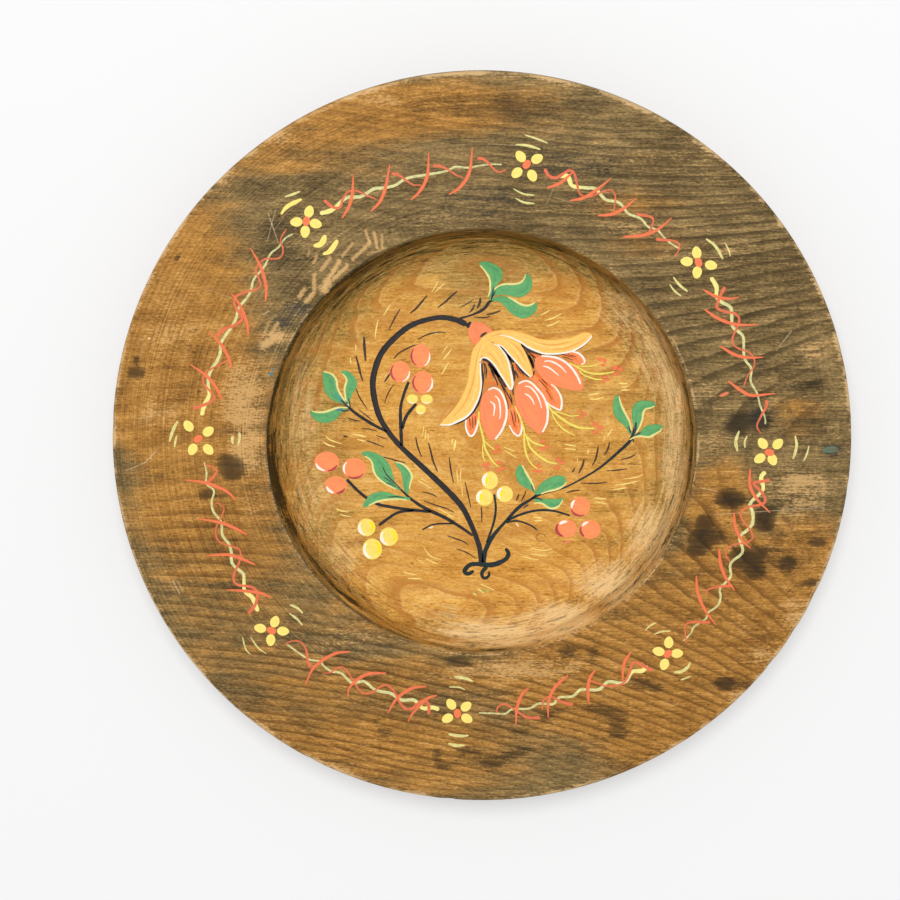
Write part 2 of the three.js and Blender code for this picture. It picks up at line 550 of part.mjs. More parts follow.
// Berries hang in threes, each [x, y, half width, half height].
const coralPaint = 0xef7f4f;
const yellowPaint = 0xf3d760;
const berryTrios = {
  arch: {
    color: coralPaint,
    places: [[-19, 25.4, 3.2, 3.8], [-25.4, 20.4, 3.2, 3.4], [-18.4, 17.1, 3.4, 3.6]],
  },
  arch_small: {
    color: yellowPaint,
    places: [[-21.6, 11.8, 1.7, 1.5], [-17.1, 11.8, 1.8, 1.5], [-19, 8.5, 1.6, 1.5]],
  },
  left: {
    color: coralPaint,
    places: [[-48.4, -8.1, 3.9, 3.3], [-39.9, -10.2, 3.8, 3.4], [-45.7, -15.5, 3.5, 3]],
  },
  lower_left: {
    color: yellowPaint,
    places: [[-36.2, -29, 2.8, 2.9], [-29.2, -32, 2.9, 3], [-34.4, -36, 3.1, 3.3]],
  },
  middle: {
    color: yellowPaint,
    places: [[2.6, -14, 2.6, 2.9], [7.3, -18.2, 2.6, 2.6], [0.9, -19.4, 2.6, 2.7]],
  },
  right: {
    color: coralPaint,
    places: [[31, -22.3, 3.2, 3.2], [26.6, -29.3, 3.4, 3], [34.1, -29.6, 3.4, 3.1]],
  },
};

// The bell flower: an orange bell with four lobes, ochre sepals and a coral calyx over it,
// three coral buds in it and four yellow filaments out of it.
const bellOutline = [
  [[1, 29.5], [-1.6, 22], [-2.4, 13], [-4.9, 5.6], [-4.4, 1.4], [-3.1, 0.1]],
  [[-3.1, 0.1], [-1.4, 3.2], [1.2, 8.4], [5.6, 8.4], [8.4, 4.4], [11.5, 0.2]],
  [[11.5, 0.2], [12.8, 3.4], [13.2, 7.4], [17.6, 11], [21, 10.2], [24.8, 8.4]],
  [[24.8, 8.4], [24.8, 13], [22.6, 17.4], [25.6, 21], [31.4, 22.9]],
  [[31.4, 22.9], [31.4, 25.4], [27.6, 27], [18, 29], [8, 31], [1, 29.5]],
];
const sepalOutline = [
  [[-0.9, 29.9], [-2.8, 27.2], [-3.8, 21.9], [-4.6, 16.8], [-7.6, 10.3], [-13.2, 3.7]],
  [[-13.2, 3.7], [-9.8, 3.8], [-5.3, 5.9], [-2, 9.8], [-0.2, 15.3], [-0.4, 22], [0.3, 24.8],
    [3, 23.8], [5.8, 20], [9.2, 14.9]],
  [[9.2, 14.9], [9.4, 19.2], [8, 24.7], [4.2, 29.5]],
  [[4.2, 29.5], [8.6, 26.1], [15.6, 18.7]],
  [[15.6, 18.7], [15.4, 22.2], [13.6, 26.9], [11.4, 30.2]],
  [[11.4, 30.2], [14.4, 28.3], [19.6, 26.2], [25.1, 26.3], [30.1, 27.9], [34.4, 32.2]],
  [[34.4, 32.2], [31.8, 32.9], [27.9, 31.3], [22.3, 30.5], [16.8, 31.3], [9.9, 33.4], [4.4, 33.3],
    [-0.9, 29.9]],
];
const calyxOutline = [
  [[-3.1, 36], [0.2, 35.8], [3.7, 33]],
  [[3.7, 33], [0.6, 31.8], [-2, 28.7]],
  [[-2, 28.7], [-4.2, 32.4], [-3.1, 36]],
];
const budOutlines = [
  [[[4.1, -1.2], [7.2, 3.7], [7.9, 9.2], [6.4, 13.8], [3.6, 15.5]],
    [[3.6, 15.5], [0.2, 12.6], [-0.6, 7.6], [0.8, 1.6], [4.1, -1.2]]],
  [[[18.4, 0.6], [20.6, 4.4], [20.4, 10.2], [17.6, 15], [13.6, 17.7]],
    [[13.6, 17.7], [10.4, 14.6], [11, 8.9], [14.4, 3.7], [18.4, 0.6]]],
  [[[31.9, 14.9], [31, 18.8], [27.9, 23], [23.7, 25.2], [18.2, 25.4]],
    [[18.2, 25.4], [17, 21.4], [19.6, 17.3], [25.1, 15.3], [31.9, 14.9]]],
];
const filamentStrokes = [
  [
    [[[-0.8, 8.2], [-0.2, 2.6], [1.1, -3.6], [5.5, -9.7]], [0.6, 0.7]],
    [[[0.4, -0.4], [1.9, -2.4], [4.4, -4.4]], [0.5, 0.4]],
    [[[0.3, -1.6], [0.4, -4.7], [1.2, -8]], [0.5, 0.35]],
  ],
  [
    [[[10.4, 9.8], [13, 3.1], [13.5, -1.9], [17.7, -10.2]], [0.5, 0.6]],
    [[[12.8, 2.6], [15.2, -1], [20, -3.1]], [0.5, 0.7]],
    [[[13.3, 1.4], [16.9, -5.2], [23.9, -8.7]], [0.5, 0.8]],
  ],
  [
    [[[20.8, 10.1], [23.4, 7], [28.4, 3.7], [35.4, 2.6]], [0.5, 0.8]],
    [[[21.8, 8.4], [24.4, 3.4], [29.4, 0.2]], [0.6, 0.4]],
    [[[22.8, 7.6], [26.6, 6.9], [30.7, 6.7]], [0.5, 0.35]],
  ],
  [
    [[[27.3, 23.3], [31.4, 21], [36, 19.8], [41.6, 20.5]], [0.5, 0.7]],
    [[[29.6, 22.2], [34, 22.3], [36.8, 23.1]], [0.5, 0.35]],
    [[[30.6, 21.3], [33.7, 18.8], [38, 18]], [0.5, 0.45]],
  ],
];

function strokesInWell(strokes, depth) {
  return joined(strokes.map(([path, widths]) => {
    const stretched = widths.map((width) => width * wellStretch);
    return stroke(path, stretched, inWell, depth);
  }));
}

function shapeInWell(runs, depth, perSpan) {
  return film(outlineFrom(runs, inWell, perSpan), depth);
}

function wellPainting() {
  const group = new THREE.Group();
  group.position.z = floorHeight;
  const dark = 0x2c2a2c;
  const put = (name, flatFilm, depth, color, earlier) => {
    const solid = laidInWell(flatFilm, depth, earlier);
    group.add(piece(name, solid, color, 0.55));
    return solid;
  };

  const stem = put('spray_stem', strokesInWell(stemStrokes, firstCoat), firstCoat, dark, []);
  put('spray_foot_scroll', strokesInWell(footStrokes, secondCoat), secondCoat, dark, [stem]);
  for (const [name, { joint, leaves }] of Object.entries(leafSprigs)) {
    const dab = oval(joint, [leafJointRadius, leafJointRadius], inWell, secondCoat, 8);
    const flat = joined([dab, ...leaves.map((runs) => shapeInWell(runs, secondCoat))]);
    put(`leaves_${name}`, flat, secondCoat, 0x55ad72, [stem]);
  }
  for (const [name, { color, places }] of Object.entries(berryTrios)) {
    places.forEach(([x, y, halfWidth, halfHeight], i) => {
      const flat = oval([x, y], [halfWidth, halfHeight], inWell, secondCoat);
      put(`berry_${name}_${i + 1}`, flat, secondCoat, color, [stem]);
    });
  }

  const bell = put('flower_bell', shapeInWell(bellOutline, firstCoat), firstCoat, 0xd2691e, []);
  const calyxFilm = shapeInWell(calyxOutline, secondCoat);
  const calyx = put('flower_calyx', calyxFilm, secondCoat, 0xf4835c, [stem, bell]);
  const buds = budOutlines.map((runs, i) =>
    put(`flower_bud_${i + 1}`, shapeInWell(runs, secondCoat), secondCoat, 0xf6825a, [bell]));
  const sepalFilm = shapeInWell(sepalOutline, thirdCoat, 1);
  const sepals = put('flower_sepals', sepalFilm, thirdCoat, 0xf5b94f, [bell, calyx, ...buds]);
  filamentStrokes.forEach((strokes, i) => {
    const filaments = strokesInWell(strokes, thirdCoat);
    put(`flower_filament_${i + 1}`, filaments, thirdCoat, 0xf0e56a, [bell, sepals, ...buds]);
  });
  return group;
}

const group = new THREE.Group();
group.add(piece('turned_plate', turned(boardProfile()), 0xa8743a, 0.6), wellPainting(), rimPainting());

export default group;
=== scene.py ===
# A turned wooden plate: stained board, a painted garland on the rim and a painted spray in the
# well. The tables are in millimetres, the scene is in metres, and the plate lies on its foot
# with +X along the grain and +Y to the top of the painting.
import bpy
import numpy as np
from mathutils import Matrix, Vector


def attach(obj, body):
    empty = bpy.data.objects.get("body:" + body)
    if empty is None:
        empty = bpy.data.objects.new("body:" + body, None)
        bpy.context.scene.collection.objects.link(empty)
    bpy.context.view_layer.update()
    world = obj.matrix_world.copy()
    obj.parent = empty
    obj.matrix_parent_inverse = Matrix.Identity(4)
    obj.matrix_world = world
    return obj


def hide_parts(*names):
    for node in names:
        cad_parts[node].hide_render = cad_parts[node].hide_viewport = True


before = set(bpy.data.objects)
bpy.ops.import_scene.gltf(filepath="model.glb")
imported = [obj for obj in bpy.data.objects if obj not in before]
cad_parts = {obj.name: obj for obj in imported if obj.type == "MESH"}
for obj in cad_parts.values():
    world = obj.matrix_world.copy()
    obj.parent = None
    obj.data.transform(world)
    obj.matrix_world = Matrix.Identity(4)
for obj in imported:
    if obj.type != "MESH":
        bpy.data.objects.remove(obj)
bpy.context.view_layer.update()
mm = 0.001
print("frame loaded:", len(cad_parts), "nodes")

viewpoint = {"place": (1.89, 143.73, 910.45), "aim": (-9.68, -2.08, 22), "roll": -0.0017, "lens": 116.7,
             "sensor": 36, "near": 0.01, "far": 20}


def setCamera():
    # Looks from place to aim, with +Y of the plate upwards in the picture.
    camera = bpy.data.objects.new("camera", bpy.data.cameras.new("camera"))
    bpy.context.scene.collection.objects.link(camera)
    place, aim = Vector(viewpoint["place"]) * mm, Vector(viewpoint["aim"]) * mm
    back = (place - aim).normalized()
    up = (Vector((0, 1, 0)) - back * back.y).normalized()
    turn = Matrix((up.cross(back), up, back)).transposed().to_4x4()
    camera.matrix_world = Matrix.Translation(place) @ turn @ Matrix.Rotation(viewpoint["roll"], 4, "Z")
    camera.data.lens, camera.data.sensor_width = viewpoint["lens"], viewpoint["sensor"]
    camera.data.clip_start, camera.data.clip_end = viewpoint["near"], viewpoint["far"]
    bpy.context.scene.camera = camera


setCamera()
print("camera set")


# Shader writing: a Tone wraps a socket and adds Math nodes for sums, a Sheet adds any node.
class Tone:
    def __init__(self, sheet, socket):
        self.sheet, self.socket = sheet, socket

    def maths(self, operation, *others):
        return self.sheet.maths(operation, self, *others)

    def __add__(self, other):
        return self.maths("ADD", other)

    def __radd__(self, other):
        return self.sheet.maths("ADD", other, self)

    def __sub__(self, other):
        return self.maths("SUBTRACT", other)

    def __rsub__(self, other):
        return self.sheet.maths("SUBTRACT", other, self)

    def __mul__(self, other):
        return self.maths("MULTIPLY", other)

    def __rmul__(self, other):
        return self.sheet.maths("MULTIPLY", other, self)

    def __pow__(self, other):
        return self.maths("POWER", other)

    def __rpow__(self, other):
        return self.sheet.maths("POWER", other, self)


class Sheet:
    def __init__(self, owner):
        # The owner is a material or the world.
        owner.use_nodes = True
        self.owner, self.tree = owner, owner.node_tree
        self.tree.nodes.clear()

    def add(self, kind, settings=None, inputs=None, output=0):
        node = self.tree.nodes.new(kind)
        for key, value in (settings or {}).items():
            setattr(node, key, value)
        for key, value in (inputs or {}).items():
            if isinstance(value, Tone):
                self.tree.links.new(value.socket, node.inputs[key])
            else:
                node.inputs[key].default_value = value
        return Tone(self, node.outputs[output]) if len(node.outputs) else None

    def maths(self, operation, *values):
        return self.add("ShaderNodeMath", {"operation": operation}, dict(enumerate(values)))

    def place(self):
        # Object coordinates in millimetres.
        metres = self.add("ShaderNodeTexCoord", output="Object")
        return self.add("ShaderNodeVectorMath", {"operation": "SCALE"}, {0: metres, "Scale": 1000})

    def stretched(self, vector, stretch):
        return self.add("ShaderNodeVectorMath", {"operation": "MULTIPLY"}, {0: vector, 1: stretch})

    def cloud(self, vector, stretch, detail=2, roughness=0.5):
        # Soft noise from 0 to 1; stretch is its number of swells per millimetre on each axis.
        place = self.stretched(vector, stretch)
        inputs = {"Vector": place, "Scale": 1, "Detail": detail, "Roughness": roughness}
        return self.add("ShaderNodeTexNoise", {}, inputs)

    def ease(self, value, low, high):
        # 0 below low, 1 above high, and a smooth step between them.
        settings = {"interpolation_type": "SMOOTHSTEP"}
        return self.add("ShaderNodeMapRange", settings, {"Value": value, "From Min": low, "From Max": high})

    def mixed(self, amount, first, second):
        # Colour mix. A colour is given as sRGB 0 to 255, or is a Tone.
        first, second = (c if isinstance(c, Tone) else shade(c) for c in (first, second))
        return self.add("ShaderNodeMix", {"data_type": "RGBA"}, {0: amount, 6: first, 7: second}, output=2)

    def finish(self, colour, roughness, height, lift, **fixed):
        # The shader with its fine relief: height from 0 to 1 lifts the surface by up to lift metres.
        inputs = {"Base Color": colour, "Roughness": roughness, **fixed}
        bump = {"Height": height, "Distance": lift, "Strength": 1}
        inputs["Normal"] = self.add("ShaderNodeBump", {}, bump)
        surface = self.add("ShaderNodeBsdfPrincipled", {}, inputs)
        self.add("ShaderNodeOutputMaterial", {}, {"Surface": surface})
        return self.owner


def shade(colour):
    # sRGB 0 to 255 to the linear colour that a socket takes.
    c = np.array(colour) / 255
    linear = np.where(c > 0.04045, ((c + 0.055) / 1.055) ** 2.4, c / 12.92)
    return (*(float(v) for v in linear), 1.0)


# The board
board = {
    # the section: radii and heights in millimetres
    "edgeRadius": 114, "rimHeight": 22, "lipRadius": 66.4, "lipRounding": 0.7,
    "wallFoot": 63.5, "wallFootHeight": 14.9, "floorRadius": 48, "floorHeight": 8.5,
    "footHollow": 1.5, "footInside": 44, "footOutside": 56, "footBevel": 0.25,
    "flareRadius": 72, "flareHeight": 12, "underEdge": 13.5, "edgeRounding": 2,
    # the outer arris as distance in from the edge and down from the rim
    "arris": [(0, 5), (0, 3), (0, 1.4), (0.04, 0.7), (0.2, 0.3), (0.5, 0.07), (0.9, 0)],
    # points round the plate, rows of points on the underside, and the least angle of a sharp edge
    "segments": 540, "underRows": 30, "sharpAngle": 0.9,
    # tool rings in the hollow, and how deep its creases are
    "toolMark": 0.035, "toolPitch": 1.25, "creaseDepth": 0.25,
    # grooves in the wall of the well, also darkened with painted shade and dirt: degrees, reach, radius,
    # width and strength
    "creases": [(165, 60, 65.9, 0.9, 1), (190, 16, 64.9, 1.1, 0.85), (214, 34, 64.6, 0.7, 0.8),
                (228, 22, 66.2, 0.5, 0.6), (150, 45, 63.4, 0.9, 0.35), (150, 50, 61, 0.9, 0.25),
                (140, 34, 58.6, 0.9, 0.15), (222, 24, 62.8, 0.8, 0.5), (95, 50, 64.2, 1.2, 0.4),
                (90, 52, 61.8, 1, 0.25), (100, 40, 66, 0.7, 0.6), (262, 30, 65.7, 0.5, 0.6),
                (-25, 36, 65.2, 0.6, 0.5), (-10, 26, 66.3, 0.4, 0.6), (-45, 24, 63.8, 0.7, 0.4),
                (-20, 30, 62.6, 0.8, 0.4), (5, 26, 64.8, 0.6, 0.45), (30, 26, 65.4, 0.7, 0.5),
                (40, 28, 63, 0.8, 0.4)],
    # where the outer arris is chipped: degrees, width and depth
    "chips": [(177, 1.6, 0.9), (-25, 2.2, 0.8), (-31.5, 1.6, 0.9), (-37.5, 1.2, 0.7), (152, 1.2, 0.4),
              (128, 1.5, 0.35), (-118, 1, 0.5), (14, 1, 0.5), (-7, 0.9, 0.5), (-95, 1.4, 0.3),
              (38, 1, 0.4)],
}


def surfaceHeight(r):
    # Height of the painted side: level rim, steep wall, hollow curve rising as a square, level floor.
    b = board
    share = np.clip((r - b["floorRadius"]) / (b["wallFoot"] - b["floorRadius"]), 0, 1)
    hollow = b["floorHeight"] + (b["wallFootHeight"] - b["floorHeight"]) * share ** 2
    climb = np.clip((r - b["wallFoot"]) / (b["lipRadius"] - b["wallFoot"]), 0, 1)
    return hollow + climb * (b["rimHeight"] - b["wallFootHeight"])


def straight(first, last, count):
    # A line of points from first to last, without the first.
    return np.linspace(first, last, count)[1:]


def boardSection():
    # Half section as [radius, height], from the middle of the underside round to the middle of the well.
    b = board
    edge, top, outside = b["edgeRadius"], b["rimHeight"], b["footOutside"]
    underEdge, rounding, lip = b["underEdge"], b["edgeRounding"], b["lipRounding"]
    under = [(0, b["footHollow"]), (20, b["footHollow"]), (b["footInside"] - 1.5, b["footHollow"]),
             (b["footInside"], 0), (50, 0), (outside - 0.4, 0), (outside, b["footBevel"])]
    flare = straight(0, 1, 12)
    rise = (b["flareHeight"] - b["footBevel"]) * (1 - np.cos(np.pi * flare)) / 2
    swell = np.stack([outside + (b["flareRadius"] - outside) * flare, b["footBevel"] + rise], axis=1)
    slope = straight((b["flareRadius"], b["flareHeight"]), (edge - rounding, underEdge), 9)
    quarter = straight(0, np.pi / 2, 6)
    corner = np.stack([np.sin(quarter) - 1, 1 - np.cos(quarter)], axis=1) * rounding + [edge, underEdge]
    arris = [(edge - inward, top - down) for inward, down in b["arris"]]
    rim = np.linspace((edge - 1.6, top), (b["lipRadius"] + 0.8, top), 52)
    quarter = np.linspace(0, np.pi / 2, 5)
    rounded = np.stack([b["lipRadius"] - lip * np.sin(quarter), top - lip * (1 - np.cos(quarter))], axis=1)
    wall = straight((b["lipRadius"] - lip, top - lip), (b["wallFoot"], b["wallFootHeight"]), 12)
    hollow = straight(b["wallFoot"], b["floorRadius"], 26)
    cove = np.stack([hollow, surfaceHeight(hollow)], axis=1)
    floor = straight((b["floorRadius"], b["floorHeight"]), (0, b["floorHeight"]), 26)
    return np.vstack([under, swell, slope, corner, arris, rim, rounded, wall, cove, floor])


def boardPoints():
    # The section turned about Z, less tool rings and creases in the hollow and chips on the arris.
    # A crease fades as exp(-distance^2) across and exp(-turn^4) along, a chip as exp(-distance^2) both ways.
    b = board
    section = boardSection()
    angle = np.linspace(0, 2 * np.pi, b["segments"], endpoint=False)
    r = section[1:-1, 0][:, None] + 0 * angle
    z = section[1:-1, 1][:, None] + 0 * angle
    inside = (z > b["floorHeight"] - 0.1) & (r < b["lipRadius"] - 0.5)
    steep = np.clip((r - b["floorRadius"] - 2) / 8, 0, 1) * inside
    z = z + steep * b["toolMark"] * np.sin(2 * np.pi * r / b["toolPitch"])
    for degrees, reach, radius, width, strength in b["creases"]:
        turn = (angle - np.radians(degrees) + np.pi) % (2 * np.pi) - np.pi
        fade = np.exp(-((turn / np.radians(reach)) ** 4)) * strength
        z = z - inside * b["creaseDepth"] * fade * np.exp(-(((r - radius) / width * 1.6) ** 2))
    arris = np.exp(-(((z - b["rimHeight"] + 0.2) / 0.8) ** 2)) * (r > b["edgeRadius"] - 1.5)
    for degrees, width, depth in b["chips"]:
        away = (angle - np.radians(degrees) + np.pi) % (2 * np.pi) - np.pi
        bite = depth * np.exp(-((np.degrees(away) / width * 2) ** 2))
        r, z = r - arris * bite, z - 0.5 * arris * bite
    return r * np.cos(angle), r * np.sin(angle), z


# Soft places on the wood as [x, y, reach x, reach y, strength].
charcoalSpots = [
    (-66, 60, 9, 9, 0.38), (-57, 57, 9, 9, 0.36), (-60, 68, 9, 6, 0.36), (-46, 66, 9, 5, 0.3),
    (-53, 48, 6, 4, 0.36), (-35, 75, 13, 4, 0.25), (-106, 26, 1.4, 1.3, 0.8), (-106, 22, 4, 2.6, 0.7),
    (-88, 35, 2.5, 1.6, 0.5), (-93, 57.5, 1.4, 1.1, 0.8), (-96, 55, 3, 1.6, 0.4), (-83, 8, 4, 3, 0.4),
    (-87, 16, 1.6, 1.2, 0.6), (-77, -8, 5, 5, 0.8), (-80, -5, 2.5, 3, 0.4), (-85, -16, 4, 3, 0.6),
    (-77, -30.5, 2.2, 1.4, 0.5), (-30, -92, 4, 2.6, 0.55), (-33, -88, 2.4, 2, 0.45),
    (-14, -99, 2.4, 3.2, 0.56), (-12, -103, 4.4, 1.8, 0.6), (-7, -101, 2.8, 2, 0.44),
    (-4, -97.5, 6.5, 2, 0.6), (3, -102, 5.5, 3.2, 0.58), (9, -99, 4.4, 3, 0.52), (14, -97, 4, 3, 0.5),
    (14, -105, 4, 2, 0.45), (12, -91.5, 5, 1.8, 0.6), (20, -87, 3.2, 3, 0.55), (24, -85, 3, 2, 0.45),
    (40, -101, 3.2, 2, 0.45), (42, -86.5, 5.5, 4, 0.55), (43, -92, 5, 2.8, 0.6), (35, -84, 5, 2.6, 0.55),
    (-7, -69, 6.5, 3.2, 0.62), (7, -79, 7, 2, 0.5), (27, -66, 4.4, 3, 0.6), (35, -67, 3, 4, 0.55),
    (50, -76, 6, 2.8, 0.58), (55, -78, 3.2, 1.8, 0.5), (76, -76, 4.4, 2.8, 0.8), (68, -73, 4.4, 1.4, 0.45),
    (60, -82, 6, 3, 0.3), (77, -17.5, 5.5, 3.6, 0.95), (69, -25, 3.4, 3.8, 0.8),
    (70, -29.5, 6.5, 3.2, 0.85), (67, -33.5, 4, 2.6, 0.8), (87.5, -24.5, 4, 3.8, 1),
    (89, -20.8, 4.4, 2, 0.75), (83, -35.5, 5.5, 4.2, 0.9), (85, -40.5, 4, 2.8, 0.85),
    (79, -36, 3.2, 4, 0.55), (95, -38, 4, 3.4, 0.65), (104, -31, 4, 2.2, 0.75), (102, -44, 4, 2.2, 0.65),
    (90, -33, 4.4, 2.2, 0.55), (96, -46, 3.4, 3, 0.4), (79, 6, 5, 4.4, 0.8), (86, 8, 4.4, 5.4, 0.65),
    (98, 18, 6, 1.8, 0.55), (95, 10, 1.6, 1.6, 0.6), (103, 19, 4.4, 1.4, 0.5), (84, 15, 8, 2.4, 0.5),
    (94, 26, 9, 1.6, 0.45), (56, 43, 6, 2.4, 0.4), (62, 30, 3, 6, 0.3), (-96, -46, 4, 3, 0.3),
]
warmSpots = [
    (-95, 45, 26, 40, 1), (-88, 12, 24, 20, 0.9), (-60, 95, 40, 14, 0.7), (-20, 104, 40, 8, 0.85),
    (-20, 97, 26, 4, 0.5), (20, 100, 30, 8, 0.15), (85, -58, 16, 16, 1), (90, -50, 20, 24, 0.7),
    (-100, 8, 12, 16, 1), (-70, -25, 14, 22, 0.6), (-90, -20, 22, 26, 0.85), (-75, -60, 30, 30, 0.45),
    (-20, -98, 40, 18, 0.7), (-20, -74, 30, 6, 0.6), (30, -75, 26, 16, 0.95), (70, -60, 34, 30, 0.95),
    (60, -92, 30, 20, 0.9), (74, -22, 12, 18, 1), (104, -34, 14, 14, 0.8), (97, 7, 9, 8, 0.6),
    (-85, 30, 12, 20, 0.6), (-50, -88, 30, 16, 0.5), (45, 74, 22, 5, 0.45), (50, 62, 16, 5, 0.45),
    (0, -8, 50, 42, 1), (-12, -44, 34, 20, 0.9), (16, -44, 30, 20, 0.9), (-24, 22, 24, 20, 0.9),
    (22, 32, 26, 14, 0.7), (24, 40, 15, 10, 0.8), (-22, 44, 14, 8, 0.6), (44, 0, 10, 26, 0.5),
]
paleSpots = [
    (4, -62, 18, 3.5, 0.9), (26, -57, 14, 5, 0.85), (42, -46, 12, 7, 0.85), (54, -32, 8, 12, 0.7),
    (60, -10, 4, 16, 0.7), (60, 12, 4, 12, 0.55), (54, 24, 6, 12, 0.5), (48, 36, 8, 7, 0.25),
    (-10, -58, 14, 4, 0.2), (44, 42, 9, 8, 0.4), (-44, -38, 8, 8, 0.35), (-54, -20, 5, 12, 0.3),
    (-56, 8, 5, 16, 0.4),
]
# Painted shade with grime on the wall of the well, mostly on its north and west side.
wallShadeAndGrimeSpots = [
    (-45, 47, 14, 14, 0.9), (-63, 18, 5, 20, 0.55), (-63, -12, 3.5, 14, 0.6), (-20, 62, 26, 8, 1),
    (14, 63, 26, 7, 1), (40, 52, 14, 12, 0.3), (-48, -43, 6, 8, 0.35), (0, 57, 42, 6, 0.6),
    (-30, 50, 18, 12, 0.4), (-30, -60, 14, 3, 0.4), (-60, -28, 3, 8, 0.4),
]
linedSpots = [
    (70, 50, 44, 40, 1), (75, -32, 22, 20, 1), (84, 12, 18, 16, 0.7), (30, 80, 40, 20, 0.8),
    (60, -70, 46, 30, 0.75), (0, -85, 60, 24, 0.9), (-50, -80, 40, 30, 0.95), (-40, 78, 30, 12, 0.3),
    (-84, -36, 20, 26, 0.85), (0, 102, 60, 8, 0.35), (-100, 8, 14, 18, 0.2),
]
tanSpots = [
    (-73, 12, 7, 16, 0.85), (-72, -4, 5, 6, 0.6), (-64, 33, 5, 4.5, 0.55), (-71, -18, 4, 8, 0.4),
    (-56, 43, 4, 4, 0.4), (15, -71, 20, 4, 0.6), (-12, -73, 12, 3, 0.3), (-80, 82, 5, 4, 0.6),
    (-62, 94, 6, 2.5, 0.6), (-30, 106, 12, 3, 0.35), (97, -54, 5, 6, 0.55), (88, -68, 5, 5, 0.5),
    (81, -79, 5, 4, 0.5), (-46, -103, 8, 2.5, 0.5), (95, -14, 8, 8, 0.45), (101, 28, 3, 3, 0.5),
    (107, 2, 5, 7, 0.2), (100, -17, 8, 9, 0.5), (72, -2, 4, 7, 0.4), (70, 16, 5, 8, 0.3),
    (-40, -62, 14, 4, 0.3), (45, 66, 10, 2.5, 0.35), (72, 58, 10, 5, 0.35), (-96, 35, 12, 16, 0.3),
    (-20, 70, 16, 3, 0.3), (-100, 10, 8, 10, 0.3), (85, -60, 8, 8, 0.3),
]
# Darker patches; the first is a painted shadow of a hand on the lower left of the rim.
gloomSpots = [
    (-94, -38, 9, 12, 0.25), (97, -35, 14, 8, 0.5), (72, -25, 8, 8, 0.3), (50, 88, 20, 8, 0.35),
    (4, 104, 26, 5, 0.65), (-58, 92, 14, 7, 0.3), (24, 101, 20, 5, 0.3), (60, 86, 16, 10, 0.45),
    (90, 50, 16, 16, 0.45), (103, 10, 8, 10, 0.5), (-57, 48, 10, 10, 0.4), (-40, 80, 26, 6, 0.35),
    (90, 20, 16, 9, 0.5), (57, 48, 10, 4, 0.35), (34, 72, 16, 4, 0.3), (-8, -80, 16, 4, 0.35),
    (46, -96, 14, 8, 0.25), (-34, -96, 14, 4, 0.25), (0, 67, 40, 3, 0.35), (-92, 12, 5, 14, 0.3),
]
inkSpots = [
    (25, 86, 17, 5, 0.4), (0, 76, 16, 4, 0.35), (-5, 71, 14, 2, 0.3), (-56.4, 41.5, 4.4, 2.6, 0.9),
    (-60.5, 38, 3.4, 2.4, 0.7), (108, -2, 4, 1.8, 0.9), (85, 9, 3.4, 5, 0.45), (84, 24, 3, 4, 0.3),
    (35, 76, 10, 3, 0.3), (46, 32, 7, 9, 0.25), (-44, 8, 2.4, 2.4, 0.3),
]
spotLists = {"woodTones": (charcoalSpots, warmSpots, paleSpots, wallShadeAndGrimeSpots),
             "woodMarks": (linedSpots, tanSpots, gloomSpots, inkSpots)}

# What the underside has in place of the spots: charcoal, warm, pale, painted shade with grime; lined, tan,
# gloom, ink.
plainStain = {"woodTones": (0, 0.55, 0, 0), "woodMarks": (0.7, 0, 0, 0)}

# Straight marks as [x, y, to x, to y, width, strength]: where the stain is rubbed away, and scratches.
rubbedMarks = [
    (-39.2, 57, -34, 62, 1.3, 0.7), (-42.4, 58, -39.3, 61.8, 1.1, 0.6), (-49, 53.6, -46.1, 57.4, 1.4, 0.7),
    (-46.5, 51.3, -43.4, 56.3, 1.6, 0.85), (-45.1, 51.1, -40.9, 55.1, 1.5, 0.8),
    (-48.2, 47.8, -47, 50, 3.2, 0.9), (-51.2, 47.7, -51.1, 52.2, 1.5, 0.7),
    (-53.6, 44, -51.5, 46.3, 1.7, 0.8), (-55.7, 45.5, -54.3, 47.6, 1.6, 0.7),
    (-51.2, 56, -50.3, 58, 1.2, 0.6), (-53, 58, -52.6, 59.6, 1, 0.4), (-35.3, 65.5, -34.2, 62.2, 1.1, 0.7),
    (-32.6, 65, -31.8, 60.5, 1.2, 0.75), (-30.3, 64.2, -30.3, 60.5, 1, 0.6),
    (-34.7, 58.4, -29.3, 60.3, 1, 0.4), (-66.8, 30.5, -62, 33.4, 3.2, 0.8),
    (-64.6, 34, -62.4, 37.4, 1.2, 0.6), (-66.4, 34.4, -65.2, 37.6, 1.2, 0.4),
]
scratchMarks = [
    (72, -22.3, 106, -20, 0.35, 0.4), (-100.5, -2.5, -104, -6, 0.4, 0.7), (-104, -6, -110, -8.7, 0.4, 0.5),
    (-65, 71, -62, 62, 0.4, 0.5), (-65.2, 63, -62.8, 72, 0.35, 0.4), (-96, -43.5, -94, -47.5, 0.5, 0.6),
    (-94.5, -43.5, -93, -46.5, 0.4, 0.5), (22, 79, 20, 74, 0.35, 0.3), (22, 76, 26, 74.5, 0.3, 0.3),
    (95, 35, 92, 31, 0.5, 0.4), (92, 31, 90.5, 29, 0.5, 0.3), (68, -14, 73, -15, 0.3, 0.6),
    (-67, 40, -65, 41, 0.5, 0.6), (-60, 70.5, -63, 66, 0.3, 0.3), (2, 92, 12, 91.5, 0.25, 0.4),
    (-84, 48, -72, 43, 0.3, 0.25),
]


def spread(x, y, spots):
    # How far the point is in any spot: 1 less the product of (1 - strength * exp(-distance^3)).
    left, low, wide, tall, strength = np.array(spots, float).T
    away = np.sqrt(((x[:, None] - left) / wide) ** 2 + ((y[:, None] - low) / tall) ** 2)
    return 1 - np.prod(1 - strength * np.exp(-(away ** 3)), axis=1)


